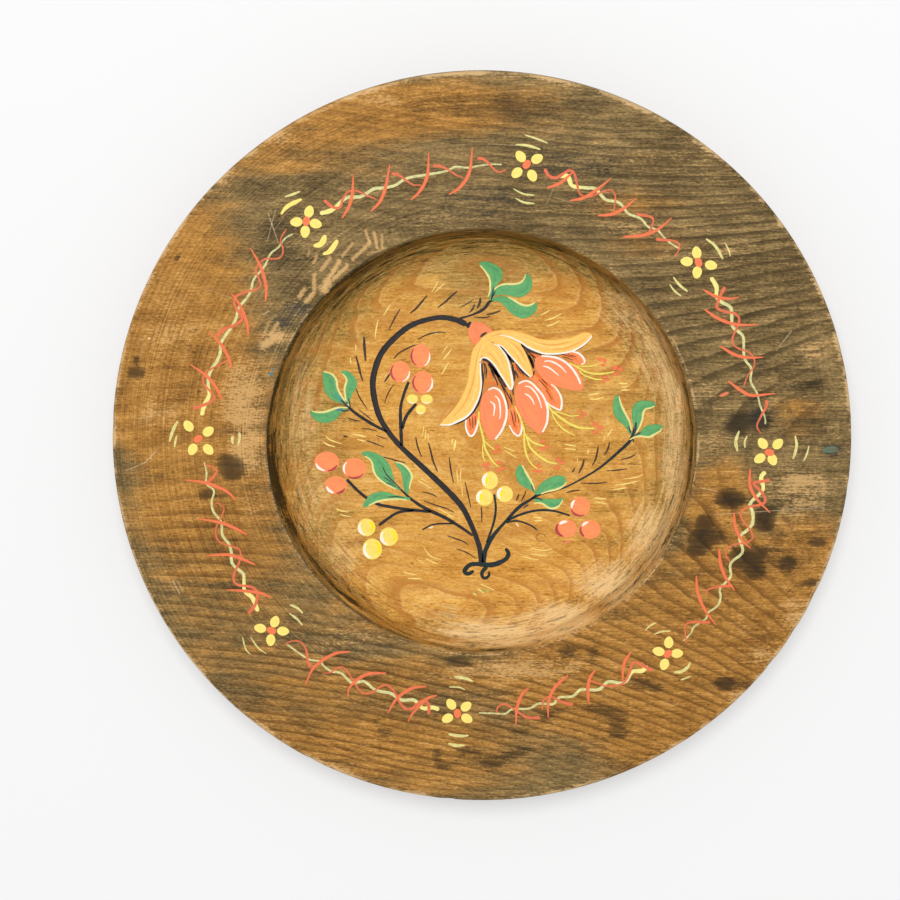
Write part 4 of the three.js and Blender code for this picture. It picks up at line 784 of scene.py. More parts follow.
# The rim: vines, tendrils and cross strokes as [degrees, radius], each from one blossom to the next.
garlands = [
    {"vine": [
         (73.9, 85.5), (72.3, 86.3), (70.8, 84), (68, 84.9), (66.1, 85.7), (63.3, 84.1), (60.5, 85.2),
         (57.8, 83.8), (55, 84.6), (52.8, 83.9), (50.8, 84.9), (48, 84.4), (44.5, 85.3)],
     "tendrils": [
         [(77.2, 86.7), (76, 84.8), (74.3, 85), (72.5, 88), (71.3, 87.8), (70, 85), (68.6, 82.4),
          (66.4, 83), (64.5, 86), (63.1, 87.4), (61.8, 86.2), (60.8, 82.8), (60.3, 81.8)],
         [(56.3, 85), (53.3, 86.9), (52.3, 85), (51.9, 82.2), (51.3, 81.8)],
         [(49.9, 82.4), (47.5, 85), (45.9, 86.2), (44.8, 84.8), (44.4, 82.2)]],
     "crosses": [
         [(75.8, 81.1), (73.3, 83.8), (71.4, 88.5)], [(70.2, 79.5), (67.5, 82), (65.5, 86.5), (64.2, 90.7)],
         [(63.3, 78.6), (60.5, 81.3), (58.9, 85.1), (58.1, 89)],
         [(56, 76.9), (52.5, 81), (50.8, 85.5), (50.2, 90.7)]]},
    {"vine": [
         (36.3, 86.9), (34, 86.6), (32.3, 85), (30.8, 85.5), (28.9, 87.1), (27, 86), (25.3, 85),
         (23.5, 86.2), (22.2, 86.7), (18.3, 84.9), (15.7, 86), (13.2, 84.9), (10.4, 86.1), (7.9, 86.5),
         (5.3, 87.6), (3.8, 87.6)],
     "tendrils": [
         [(33.1, 88.9), (32.2, 86.5), (31, 84.2), (30.2, 83.4), (28.7, 85), (27.4, 87.4), (26, 87.8),
          (24.6, 86), (23.3, 83.9), (21.9, 83), (20.5, 84.2), (19, 86.8), (17.5, 87.6), (16, 87),
          (14.5, 84.5), (12.4, 82.4)],
         [(8.8, 88.7), (7.5, 88.3), (5.5, 86.3), (3.8, 85), (2.7, 85.5), (2, 86.4)]],
     "crosses": [
         [(35.1, 82.8), (32.3, 85), (30.6, 88), (29.9, 91)],
         [(31.5, 79.8), (28, 82.3), (25.3, 86.3), (23.5, 92.4)],
         [(22.5, 79.1), (19.5, 82.5), (18, 86.3), (17.2, 90.7)],
         [(14.5, 78.1), (11.8, 81.3), (10.2, 84.5), (9.8, 91.7)]]},
    {"vine": [
         (-5.7, 88.2), (-7, 87), (-9.1, 88.2), (-10.5, 87.3), (-12.8, 85.2), (-14.5, 86.7), (-16.7, 87.6),
         (-18.5, 86.5), (-20.3, 85.2), (-22.8, 87.9), (-26, 86), (-28.5, 88), (-31.6, 87), (-33, 88.7),
         (-34.9, 89.5), (-37, 88.4), (-38.4, 89.1), (-41.2, 87.9), (-42.5, 88.6), (-44.8, 88.6)],
     "tendrils": [
         [(-7.3, 89.9), (-8, 86.5), (-8.5, 85), (-10, 88), (-11.5, 89.6), (-12.5, 88.5), (-13.5, 85),
          (-15, 83.1), (-16.5, 84.2), (-18, 87.5), (-19.5, 89.1), (-21, 87.3), (-22, 84.5), (-23.6, 82.8),
          (-25, 83.8), (-25.8, 86)],
         [(-29.8, 90), (-31.3, 86.7), (-32.7, 84.5), (-33.8, 84), (-34.2, 85.5)],
         [(-38.3, 91), (-39.3, 89), (-40.8, 86.3), (-42, 85.5), (-43.2, 87), (-44.7, 90)]],
     "crosses": [
         [(-5.4, 83.3), (-9, 84), (-11.5, 86.8), (-13.7, 92)],
         [(-15.4, 81), (-18.5, 83), (-20.5, 86), (-21.6, 89.9)],
         [(-24.1, 80.7), (-27, 83.3), (-29.2, 87), (-30.5, 91.5)],
         [(-31.9, 78.6), (-34.9, 82), (-37, 87), (-38.1, 93)]]},
    {"vine": [
         (-53.5, 87.5), (-55.1, 87.7), (-56.8, 86.2), (-58.5, 87.5), (-60, 87.7), (-62.3, 85.2),
         (-64.6, 86.2), (-66.7, 85), (-68.4, 83.9), (-70.4, 85.1), (-73.2, 84.1), (-74.7, 85.7),
         (-76.5, 84.9), (-77.9, 84.4), (-79.9, 85.4), (-83.5, 84.9), (-85, 86.1), (-87.2, 85.8),
         (-90.6, 85.5)],
     "tendrils": [
         [(-53.4, 89.7), (-54.5, 86), (-55.7, 84), (-57.6, 86.2), (-60, 87.9), (-63, 86.2), (-64.5, 84),
          (-65.8, 82.6), (-66.9, 84), (-67.8, 88)],
         [(-70.8, 87.7), (-72.7, 86), (-74.3, 83.7), (-75.4, 83), (-76.6, 83.7), (-77.3, 86.7)],
         [(-78, 89), (-80.6, 88.2), (-82, 86.5), (-83.4, 84.5), (-85.1, 83), (-86.4, 83.7), (-86.9, 86)]],
     "crosses": [
         [(-54.6, 80.7), (-57, 82.2), (-58.7, 85), (-59.6, 87.5)],
         [(-63.6, 80), (-65.5, 81.7), (-66.9, 85), (-67.8, 89.3)],
         [(-69.7, 78.2), (-73.3, 80.5), (-75.6, 84.5), (-76.5, 89.7)],
         [(-79.1, 79), (-80.6, 80), (-82.4, 84.5), (-83.1, 90.2)]]},
    {"vine": [
         (-98.8, 85.5), (-100.4, 85.2), (-102.3, 86), (-104.5, 84.1), (-107, 85.2), (-109.5, 84.2),
         (-111.4, 84.6), (-113.3, 84.9), (-116, 83.9), (-118, 86), (-121, 85), (-123, 86.1), (-124.9, 86),
         (-126.2, 85.5), (-128.1, 87), (-130.9, 87.5), (-133.7, 87.9)],
     "tendrils": [
         [(-100.8, 87.7), (-101.3, 84.5), (-102.4, 83.4), (-103.7, 85.2), (-104.3, 86.7), (-105.7, 87.5),
          (-107.3, 86), (-108.9, 83.5), (-110.9, 82.1), (-112.4, 83.5), (-113.3, 86), (-115, 87.4),
          (-116.7, 86.5), (-118.6, 84.7), (-121, 83), (-122.3, 84), (-123, 86.5), (-124.3, 88.3)],
         [(-126.8, 89), (-128.4, 87.5), (-129.7, 85.5), (-131.5, 84.4), (-133.1, 85.5), (-134.1, 88.2)]],
     "crosses": [
         [(-99.8, 81), (-102, 83), (-104, 88), (-104.6, 91.5)],
         [(-102.6, 78.9), (-105.8, 80.8), (-108.1, 85.2), (-108.9, 90.7)],
         [(-112.2, 78.6), (-116.1, 81.5), (-118, 87), (-117.5, 91)],
         [(-121.8, 77.5), (-124.6, 81), (-126.4, 88), (-125.7, 94.5)]]},
    {"vine": [
         (-142.6, 87.6), (-145.6, 86.4), (-147.8, 87.1), (-150.7, 84.8), (-152.3, 85.5), (-154.2, 86.2),
         (-156.2, 84.9), (-158, 84.6), (-160.3, 85.4), (-163, 84.4), (-165.5, 85.8), (-167.7, 85.5),
         (-169.8, 84.1), (-171.5, 86), (-174, 85.5), (-176.2, 85.9)],
     "tendrils": [
         [(-143.5, 90.5), (-144.1, 87), (-145.6, 84.5), (-147, 84.2), (-148.2, 85.5), (-149.5, 88),
          (-150.7, 88.4), (-152, 87), (-153.6, 84), (-155.7, 82.2), (-157.2, 83.8), (-158.6, 86.4),
          (-160.2, 87.4), (-162.1, 86.5), (-163.6, 84.5), (-165.5, 82.4), (-166.8, 83.4), (-167.2, 84.7)],
         [(-171.7, 86), (-172.8, 83.5), (-174, 82.3), (-175.1, 84), (-175.6, 86)]],
     "crosses": [
         [(-143.3, 81.5), (-145.7, 83.7), (-148.1, 88), (-149.8, 91.9)],
         [(-151.4, 80), (-154.2, 83.2), (-156.1, 86.5), (-157.5, 92.5)],
         [(-158.4, 78.1), (-161.1, 81.5), (-163, 85), (-164.9, 91)],
         [(-166.8, 78.1), (-169.3, 80.5), (-171.8, 86.5), (-172.9, 92.7)]]},
    {"vine": [
         (-185.7, 86.7), (-187.9, 86.2), (-190.1, 85.2), (-192.3, 86.1), (-194.8, 86.4), (-197, 85.4),
         (-199.2, 85), (-201.5, 85.8), (-205.2, 84.8), (-207.1, 84.6), (-209.6, 85.4), (-212.1, 84.8),
         (-214, 85), (-216.2, 86.2), (-219.7, 86), (-222.2, 87.1), (-224.4, 86.7), (-226.6, 87.2),
         (-228.5, 86.5)],
     "tendrils": [
         [(-186.9, 89.7), (-187.9, 86.5), (-189.5, 83.5), (-190.7, 84.5), (-192.3, 87.5), (-193.9, 88),
          (-195.4, 86.5), (-197, 84), (-198.3, 82.2)],
         [(-202.2, 87.9), (-204.1, 86.6), (-205.8, 84.2), (-207.7, 82.9), (-208.6, 84.5), (-209.6, 87),
          (-211, 88), (-212.7, 86.5), (-214, 84.7), (-215.7, 83.3), (-216.8, 85), (-217.8, 87.2),
          (-219.3, 87.9), (-220.9, 87.2), (-222.2, 85), (-223.3, 84.1), (-224.7, 85.2), (-225.9, 88),
          (-228.2, 89)]],
     "crosses": [
         [(-189.6, 81), (-192, 83.5), (-193.9, 87), (-195.4, 93)],
         [(-196.8, 80.1), (-199.2, 82.5), (-201.4, 86.5), (-202.5, 90.7)],
         [(-205, 79), (-207.4, 81), (-210.2, 85.8), (-211.3, 89.7)],
         [(-213.5, 79.3), (-216.5, 82), (-219.1, 87.1), (-220.6, 93)]]},
    {"vine": [
         (124.8, 86.4), (123.3, 85.5), (121.8, 85.2), (119.6, 86), (118, 86), (116.1, 84.6), (114.5, 84.6),
         (112.5, 85), (110.8, 84.2), (108.3, 83.7), (106.4, 84.5), (104.5, 84.7), (102, 84.4), (97.2, 84.5),
         (95.3, 85.5), (92.8, 84.9), (90.6, 85.4), (88.1, 85.9), (85.7, 86)],
     "tendrils": [
         [(122.6, 89.1), (121.9, 86), (120.7, 84.6), (119.3, 86.2), (117.8, 87.5), (116.1, 86.7),
          (114.5, 84), (113, 81.7)],
         [(108.3, 87.4), (107, 86.5), (105.7, 84), (104.5, 82.2), (102.9, 81.7)],
         [(99.9, 86.6), (98.2, 86.2), (96.6, 84.5), (95, 82.7), (93.8, 82.2)],
         [(90.9, 87.7), (89.7, 87.5), (88.4, 86), (87.2, 84.2), (86.1, 83.7), (84.8, 84.7)]],
     "crosses": [
         [(121.5, 81.4), (118.9, 83.5), (117, 86.5), (115.2, 91.5)],
         [(115.3, 79.1), (112.5, 80.7), (110.1, 84.5), (107.9, 90.5)],
         [(106, 78), (103.5, 80), (101.3, 84), (100.1, 91)],
         [(97.4, 77.3), (94.7, 79.2), (92.5, 83.5), (91.7, 91.2)]]},
]


# Blossoms: heart, petals and the dashes above and below them, all as [degrees, radius].
blossoms = [
    {"heart": (80.9, 86.9), "petals": [(82.3, 89), (79.1, 89.1), (82.6, 84), (79.4, 83.9)],
     "dashes": [
         ([(83.6, 92.4), (81.5, 92.6), (78.7, 92.1)], 0.8), ([(82.2, 95.7), (80, 95.1), (77.6, 94.4)], 0.6),
         ([(83.1, 79.1), (80.5, 77.9), (77.9, 78.2)], 0.6),
         ([(82.3, 76.3), (80, 75.4), (77.5, 75.7)], 0.7)]},
    {"heart": (40.2, 86.7), "petals": [(41.9, 88.2), (38.2, 89.1), (41.9, 84.2), (38.8, 84.5)],
     "dashes": [
         ([(42.8, 93.1), (40.5, 93.8), (37.6, 93.1)], 0.9),
         ([(39.8, 96.6), (38.4, 96.2), (37.2, 95.3)], 0.5), ([(41.4, 78), (39, 77.9), (36.6, 78.7)], 0.8),
         ([(40.7, 75.7), (38.5, 75.6), (36.6, 76.3)], 0.6)]},
    {"heart": (-1.8, 88.8), "petals": [(-0.1, 91.3), (-3.2, 89.9), (0, 86.7), (-3.1, 86)],
     "dashes": [
         ([(1.5, 96.6), (-0.5, 97.1), (-3, 96.2)], 0.9), ([(-0.3, 101), (-1.8, 100.4), (-3.2, 99.5)], 0.6),
         ([(1.8, 82), (0.3, 81.1), (-1.1, 81.3)], 0.6), ([(2.9, 79.5), (0.5, 78.4), (-1.9, 79)], 1)]},
    {"heart": (-48.8, 88.3), "petals": [(-47.4, 90.1), (-50.7, 90.2), (-47.1, 85.8), (-49.9, 85.9)],
     "dashes": [
         ([(-46.6, 95), (-47.8, 95.7), (-49.1, 95.4), (-50.4, 94)], 1),
         ([(-48.2, 98.5), (-49.2, 98), (-50.4, 97.2)], 0.5),
         ([(-45, 83.7), (-46.6, 81.7), (-48.4, 80.7)], 0.5),
         ([(-45.9, 78.6), (-47.5, 77.9), (-49.3, 78)], 0.5)]},
    {"heart": (-95, 86), "petals": [(-93, 87.4), (-96.9, 87.9), (-93.3, 83.6), (-96.5, 83.3)],
     "dashes": [
         ([(-92.4, 92.9), (-94.1, 93.2), (-96.5, 93)], 1), ([(-93, 96.1), (-94.7, 96.4), (-96.3, 96)], 1),
         ([(-93.6, 78.4), (-95.2, 77.6), (-97.6, 77.9)], 0.5),
         ([(-91.9, 75.5), (-93.8, 74.6), (-96.6, 74.4)], 1)]},
    {"heart": (-137.9, 88.3), "petals": [(-136.6, 90.5), (-139.7, 90.4), (-136.2, 85.8), (-138.8, 85.6)],
     "dashes": [
         ([(-135.2, 94.6), (-137.2, 95.1), (-139.7, 94.6)], 0.5),
         ([(-137.1, 98.3), (-138.5, 98.3), (-140.7, 96.4)], 0.5),
         ([(-134, 80.1), (-136, 79.9), (-138.2, 80.4)], 0.7),
         ([(-135.9, 77.3), (-137.8, 77.4), (-139.6, 78.5)], 0.8)]},
    {"heart": (-180.9, 87.5), "petals": [(-178.8, 89.2), (-183.4, 90.5), (-178.7, 84.4), (-182.5, 84.4)],
     "dashes": [
         ([(-180.2, 96.4), (-182.2, 95.4), (-184.3, 93.9)], 1),
         ([(-179.1, 94.8), (-180.4, 94.5), (-181.6, 94)], 0.7),
         ([(-179.7, 76.8), (-180.7, 76.9), (-181.8, 76.9)], 0.9),
         ([(-179.4, 75.3), (-181.3, 74.6), (-182.8, 74.8)], 0.8)]},
    {"heart": (-232.1, 86.9), "petals": [(-230.5, 88.6), (-233.7, 88.7), (-230.6, 84.7), (-233.3, 84.6)],
     "dashes": [
         ([(-229.1, 93.4), (-231, 94), (-234.1, 93.1)], 1.3),
         ([(-231.7, 96.8), (-233.2, 95.9), (-234.7, 95.2)], 0.8),
         ([(-229.9, 79.8), (-231.6, 78.7), (-233.6, 80.1)], 1.8),
         ([(-230.3, 76), (-232.2, 75.3), (-235.2, 76.7)], 1.6)]},
]
rimBrush = {
    # half axes of a petal and of a heart, and how far a petal's outer end is drawn out
    "petal": (1.85, 1.5), "heart": (1.5, 1.15), "tip": 0.12, "taper": 0.1, "heartLean": 55,
    # widths along each stroke of a garland
    "vine": [1.25, 1.1, 0.9, 0.7, 0.55], "loaded": [1.3, 1.5, 1.2, 0.5],
    "tendril": [1.15, 0.95, 0.7, 0.6, 0.5], "cross": [0.5, 1.05, 1.15, 0.8, 0.35],
    # shares of its own width along a dash, and the width from which a dash is bright
    "dash": [0.5, 1, 1.1, 0.6], "brightDash": 1.2,
}


def petalMark(place, heart):
    # An oval turned away from the heart; towards its outer end it is a little longer and narrower.
    (x, y), (hx, hy) = polar([place, heart])
    lean = np.arctan2(y - hy, x - hx)
    mark = dab(0, 0, *rimBrush["petal"], "petal", 2)
    grid = mark["grid"]
    reach = np.clip(grid[..., 0] / rimBrush["petal"][0], 0, 1)
    grid[..., 0] += rimBrush["tip"] * reach ** 4
    grid[..., 1] *= 1 - rimBrush["taper"] * reach
    side, up = grid[..., 0].copy(), grid[..., 1].copy()
    grid[..., 0] = x + side * np.cos(lean) - up * np.sin(lean)
    grid[..., 1] = y + side * np.sin(lean) + up * np.cos(lean)
    return mark


def makeBlossom(number, heart, petals, dashes):
    marks = [petalMark(place, heart) for place in petals]
    layPaint(f"blossom{number}Petals", marks, [f"blossom_{number}_petals"])
    (x, y), = polar([heart])
    hot = dab(x, y, *rimBrush["heart"], "heart", 4, rimBrush["heartLean"] * number)
    layPaint(f"blossom{number}Heart", [hot], [f"blossom_{number}_heart"])
    return [makeDash(path, width) for path, width in dashes]


def makeDash(path, width):
    paint = "petal" if width > rimBrush["brightDash"] else "dash"
    return tapered(polar(path), width, rimBrush["dash"], paint)


def makeGarland(number, vine, tendrils, crosses):
    # The vine goes on first, then the tendrils, and the cross strokes last.
    # Each stroke thins as the brush runs dry, and the start of the vine is gone over with a full brush.
    marks = [brushed(polar(vine), rimBrush["vine"], "vine")]
    marks.append(brushed(polar(vine[:4]), rimBrush["loaded"], "vineBright", 1.6))
    marks += [brushed(polar(path), rimBrush["tendril"], "rimCoralThin", 2) for path in tendrils]
    marks += [brushed(polar(path), rimBrush["cross"], "rimCoral", 3) for path in crosses]
    layPaint(f"garland{number}", marks, [f"garland_{number}"])


dashMarks = []
for number, parts in enumerate(blossoms, 1):
    dashMarks += makeBlossom(number, **parts)
layPaint("blossomDashes", dashMarks)
for number, parts in enumerate(garlands, 1):
    makeGarland(number, **parts)
print("rim painted:", len(blossoms), "blossoms,", len(garlands), "garlands")


# The stem: each stroke as its path and the widths along it.
stems = [
    ([(0, -41.2), (-0.1, -39), (-0.5, -36), (-1.2, -33.4), (-3.1, -28.4), (-6.2, -22.3), (-10.9, -17),
      (-17.1, -11), (-24.9, -3.6), (-29.6, 2.1), (-32.4, 7.6), (-33.9, 15), (-33.5, 20), (-31.3, 26.1),
      (-26.8, 31.3), (-21.3, 35.3), (-13.7, 37.4), (-8.1, 36.8), (-4.2, 35)],
     [1.8, 1.6, 2, 1.9, 1.7, 1.8, 2, 2, 1.9, 1.6, 2]),
    ([(-25, -3.2), (-25.2, 2), (-25.3, 8.7), (-24.3, 13.1), (-22.7, 17.4)], [1.1, 1.2, 0.9, 1]),
    ([(-24.9, 2.2), (-23.5, 6.4), (-20.3, 10.5)], [1, 1.1, 1]),
    ([(-29.4, 1.4), (-33.8, 3.7), (-38.2, 6.5), (-41.2, 8.9), (-44, 11.7)], [0.8, 1.1, 1, 0.7]),
    ([(-7, 37.1), (-2.6, 38.4), (0.8, 40.2), (3, 42.7), (7.2, 43.3)], [0.7, 0.6, 1.1, 0.9, 0.4]),
    ([(-2.6, -31.7), (-6.4, -29), (-11.4, -25.9), (-17.8, -22.8), (-22, -20), (-24.9, -17.3),
      (-26.6, -15.9)], [0.8, 1.1, 1.2, 1, 0.5]),
    ([(-15.5, -24), (-22.7, -23.3), (-28.2, -22.5), (-33.2, -21.3), (-37.7, -18.3), (-42.4, -13.6)],
     [1, 1, 1]), ([(-21, -23.5), (-26.6, -24.4), (-32.4, -28.4)], [0.9, 0.9, 1]),
    ([(-8.5, -27.7), (-14.8, -28), (-18.8, -29.8)], [0.6, 0.6, 0.5]),
    ([(-4.5, 34.2), (-3.9, 35.2), (-3.1, 36.1)], [1.2, 1.6, 0.9]),
]
greenStems = [
    ([(0.6, -41.2), (0.8, -39), (1.3, -36.2), (3.6, -31.8), (8, -26.6), (11.9, -22.4), (15.5, -20),
      (18.3, -17.6)], [1.6, 1.5, 0.9, 1.2, 0.5]),
    ([(15.5, -20), (19, -18.3), (25.9, -16.3), (32.9, -12.6), (37.6, -9.5), (42.9, -4.9), (46.8, -0.8),
      (48.4, 4.8)], [0.6, 0.5, 0.6, 0.8, 1.1, 1]),
    ([(8, -26.8), (11.9, -25), (16.9, -23.6), (22.3, -23.6), (27.9, -25.2)], [0.9, 0.8, 0.8, 0.6]),
    ([(7.5, -27.4), (11.3, -26.9), (15.2, -28.2), (17.6, -29.8)], [0.7, 0.6, 0.5]),
    ([(1.6, -34), (3.8, -27.6), (4.5, -22.9), (4, -18.2)], [0.7, 0.8, 0.7]),
]
scrolls = [
    ([(7.5, -35.6), (8.5, -37.2), (7.8, -39), (5.4, -40.4), (3, -41), (0.8, -40.9), (-1.4, -40.7),
      (-3.4, -40.9), (-4.8, -42), (-5.3, -43.2), (-4.5, -43.9), (-3.3, -43.5), (-2.3, -42.8)],
     [1, 1.4, 1.4, 1.5, 1.8, 1.7, 1.6, 1.5, 1.4, 1.5, 1.5, 1.3, 0.9]),
    ([(1.9, -41.4), (0.5, -42.9), (0.1, -44.2), (0.8, -45.3), (2, -44.9), (2.5, -43.8), (2.2, -42.9)],
     [1.3, 1.4, 1.2, 1.1, 1, 0.9, 0.5]),
]

# Leaves as two edges from the base to the tip, and dark twigs over them as a width and then points.
# A pale stroke runs down one edge of each leaf: which edge, the run of its points counted from the
# tip, and points of its own before and after them.
sprigs = {
    "top": {
        "leaves": [
            ([(2.2, 43.6), (2.6, 45.5), (2.7, 46.9), (2.6, 49.1), (1.9, 50.8), (0.8, 52.4), (-0.6, 54),
              (-0.8, 54.7)],
             [(3, 43.6), (3.1, 44.9), (3.6, 46.3), (4.7, 47.4), (5.8, 48.8), (6.6, 50.2), (6.5, 51.9),
              (5.5, 53.3), (3.6, 54.4), (1.3, 55.1), (-0.8, 54.7)]),
            ([(3.2, 44.6), (3.8, 46.1), (5.2, 47.2), (7.2, 47.9), (9.9, 47.9), (11.9, 48.3), (13.1, 49.4),
              (13.8, 51.2)],
             [(3.4, 44.2), (5.8, 44.5), (8, 44.4), (10.5, 43.8), (12.4, 43.8), (14.1, 44.7), (15.4, 46.1),
              (15.8, 47.7), (15.6, 49.4), (14.9, 50.8), (13.8, 51.2)]),
            ([(2.4, 43.2), (4.4, 43.9), (6.4, 44.1), (8, 44), (9.9, 43), (11.9, 41.8), (13.8, 41.2),
              (15.5, 41.5), (16.9, 42.4)],
             [(2.4, 43), (3.8, 42.7), (5.5, 42.3), (6.9, 41.3), (8, 39.9), (9.4, 38.6), (11.1, 37.6),
              (13, 37.1), (14.7, 37.6), (16.3, 38.6), (17.2, 39.9), (17.3, 41.3), (16.9, 42.4)]),
        ],
        "edges": [(0, 1, 7, [], [(2, 43.8)]), (0, 1, 7, [(13.7, 51.1)], []), (0, 0, 6, [], [])],
        "twigs": [(0.5, (3, 42.7), (3.4, 44.7), (3.8, 47.3)), (0.6, (2.9, 42.9), (3.5, 44.2), (4.4, 45.9))],
    },
    "left": {
        "leaves": [
            ([(-41.4, 10.1), (-42.7, 11.4), (-44.1, 13.4), (-45, 15.6), (-45.3, 17.8), (-46.3, 19.4),
              (-47.7, 20.2), (-49.6, 20.8)],
             [(-41.6, 9.6), (-42.4, 9.9), (-44.3, 10.6), (-46.3, 11.3), (-47.9, 12.6), (-49.1, 14.8),
              (-49.5, 17), (-49.6, 19.2), (-49.6, 20.8)]),
            ([(-41.4, 9.5), (-42.3, 11.4), (-42.7, 13.7), (-42.7, 15.6), (-42.1, 17.6), (-42.5, 18.9),
              (-43.5, 19.9), (-43.8, 20.8)],
             [(-41.2, 9.6), (-41.3, 10.1), (-40.9, 11.7), (-40.2, 13.7), (-39.1, 15.3), (-38.8, 17),
              (-39.6, 18.9), (-41, 20.3), (-42.7, 20.9), (-43.8, 20.8)]),
            ([(-41.6, 9.1), (-44.1, 9.2), (-46, 8.8), (-47.9, 8.1), (-49.9, 7.7), (-51.8, 7.8),
              (-53.4, 8.4)],
             [(-41.7, 8.9), (-43.5, 7.8), (-44.6, 6.4), (-45.7, 5.3), (-47.4, 4.5), (-49.3, 4.2),
              (-51.3, 4.8), (-52.7, 5.9), (-53.5, 7.3), (-53.4, 8.4)]),
        ],
        "edges": [(0, 1, 8, [(-49.4, 20.6)], []), (0, 1, 8, [], []), (0, 1, 7, [(-53.2, 8.3)], [])],
        "twigs": [
            (0.6, (-41.3, 8.4), (-42.7, 8.1), (-44.1, 8.3)),
            (0.8, (-41, 8.9), (-42.1, 9.8), (-43.2, 10.9), (-44.1, 11.7)),
            (0.4, (-40.9, 9.2), (-41.3, 10.9), (-41.6, 12.3)),
        ],
    },
    "lower_left": {
        "leaves": [
            ([(-25.2, -17), (-26.1, -16.3), (-26.8, -15.2), (-27.7, -12.7), (-28.2, -10.5), (-29.1, -8.6),
              (-30.4, -6.9), (-32.4, -5.6), (-34.3, -4.9), (-36.6, -4.7), (-37.8, -5.5)],
             [(-25.3, -17.3), (-26.6, -16.8), (-28.2, -16.1), (-30.4, -14.9), (-32.4, -13.3),
              (-33.8, -11.1), (-34.2, -8.8), (-34.9, -7.3), (-36.6, -6.2), (-37.8, -5.5)]),
            ([(-23.4, -18.4), (-24.1, -17.4), (-24.6, -15.5), (-24.8, -13.6), (-25.3, -11.3), (-26.3, -9.9),
              (-27.4, -8.4)],
             [(-23.1, -18.4), (-22.7, -16.9), (-22.3, -14.9), (-21.8, -12.7), (-22.4, -11.1), (-23.8, -9.4),
              (-25.7, -8.3), (-27.4, -8.4)]),
            ([(-22.2, -19.5), (-24.6, -19), (-27.1, -18.6), (-29.3, -17.8), (-31.6, -17.5), (-33.8, -18),
              (-35.4, -19), (-36.8, -20.7), (-37.4, -22.6)],
             [(-22.2, -19.9), (-23.2, -20.2), (-25.4, -20), (-27.9, -20), (-30.4, -20.2), (-32.7, -20.7),
              (-34.3, -21.4), (-35.7, -22.3), (-37.4, -22.6)]),
        ],
        "edges": [(1, 1, 9, [], []), (1, 1, 7, [(-27, -8.4)], []), (1, 2, 8, [(-35.7, -22.1)], [])],
        "twigs": [
            (0.5, (-31.1, -9.4), (-29.9, -11.9), (-27.9, -14.1), (-25.4, -16.6)),
            (0.35, (-31, -12.9), (-29.3, -13.7), (-27.4, -15.2)),
            (0.35, (-30.4, -14.8), (-28.5, -15.1), (-26.6, -16.1)),
            (0.4, (-29.6, -19.3), (-26.8, -19.1), (-24.1, -19.4)),
        ],
    },
    "right": {
        "leaves": [
            ([(46.6, 0.6), (45.9, 1.4), (45.1, 2.8), (44, 3.9), (42.6, 5.1), (41.5, 6.7), (41, 8.7),
              (41.1, 10.9), (41.8, 12.8), (42.8, 13.2)],
             [(47, 0.7), (46.9, 1.7), (46.5, 3.9), (45.9, 5.6), (44.8, 7.6), (43.9, 9.5), (43.3, 11.2),
              (43, 12.6), (42.8, 13.2)]),
            ([(47.6, 0.2), (47.8, 0.9), (47.5, 3.1), (47.1, 5.3), (46.9, 7.6), (47.5, 9.8), (48.7, 11),
              (50.4, 11.5), (52.3, 11.4), (54, 10.9), (54.4, 10.1)],
             [(47.9, 0.2), (48.7, 1.7), (49.7, 3.7), (50.3, 5.6), (50.5, 7.3), (51.2, 8.7), (52.8, 9.2),
              (54.4, 10.1)]),
            ([(47.2, -0.1), (48.7, 0.6), (49.8, 1.7), (50.9, 3.1), (52.9, 3.9), (55.4, 4.1), (56.6, 3.5)],
             [(47.2, -0.4), (47.9, -0.2), (50.1, 0.1), (52.3, -0.1), (54, 0.8), (55.7, 2), (56.6, 3.5)]),
        ],
        "edges": [
            (1, 2, 8, [(42.9, 12.9)], []), (1, 1, 7, [(54.2, 9.9)], [(47.3, 0.1)]),
            (1, 1, 6, [(56.3, 3.1)], [(46.2, -1.1)]),
        ],
        "twigs": [
            (0.6, (46.8, 0.9), (46.2, 2.6), (45.9, 3.5)), (0.6, (47.9, 0.3), (49, 0.9), (50, 1.4)),
            (0.6, (47.3, -0.6), (47.5, -1.2), (47.5, -1.8)), (1, (47.3, -0.2), (47.9, 1.4), (48.4, 4.8)),
        ],
    },
    "lower_right": {
        "leaves": [
            ([(16.7, -18.3), (16.1, -17.4), (14.4, -16.6), (12.4, -15.5), (11.1, -13.8), (10.6, -11.9),
              (11.1, -9.9), (12, -9)],
             [(16.9, -18.3), (16.8, -17.2), (16.1, -15.2), (14.9, -13), (13.8, -11.1), (12.9, -9.4),
              (12, -9)]),
            ([(16.8, -18.4), (17.3, -16.9), (18.4, -15.2), (20.1, -13.8), (22.1, -12.7), (24.3, -12.3),
              (25.9, -12.7), (26.6, -13.8)],
             [(17.2, -18.6), (18.4, -18.3), (20.9, -17.4), (23.2, -16.9), (25.1, -16.1), (26.2, -15.2),
              (26.6, -13.8)]),
            ([(16.6, -19.6), (19, -19.7), (20.9, -19.8), (23.2, -19.8), (25.1, -19.6), (25.7, -19.6)],
             [(16.4, -20.4), (18.4, -21.1), (19.6, -21.6), (20.9, -22.6), (22.6, -22.9), (24.3, -22.1),
              (25.3, -20.7), (25.7, -19.6)]),
        ],
        "edges": [
            (1, 1, 6, [(12.4, -9.1)], []), (1, 1, 6, [(26.5, -14.2)], []),
            (1, 1, 7, [(25.6, -20)], [(16.2, -21.2)]),
        ],
        "twigs": [
            (0.5, (16.3, -19.7), (18, -19.7), (19.4, -20.3)), (0.5, (13, -22.8), (14.9, -21.6)),
            (0.4, (15.4, -15), (16, -16.3), (16.6, -17.6)),
        ],
    },
}

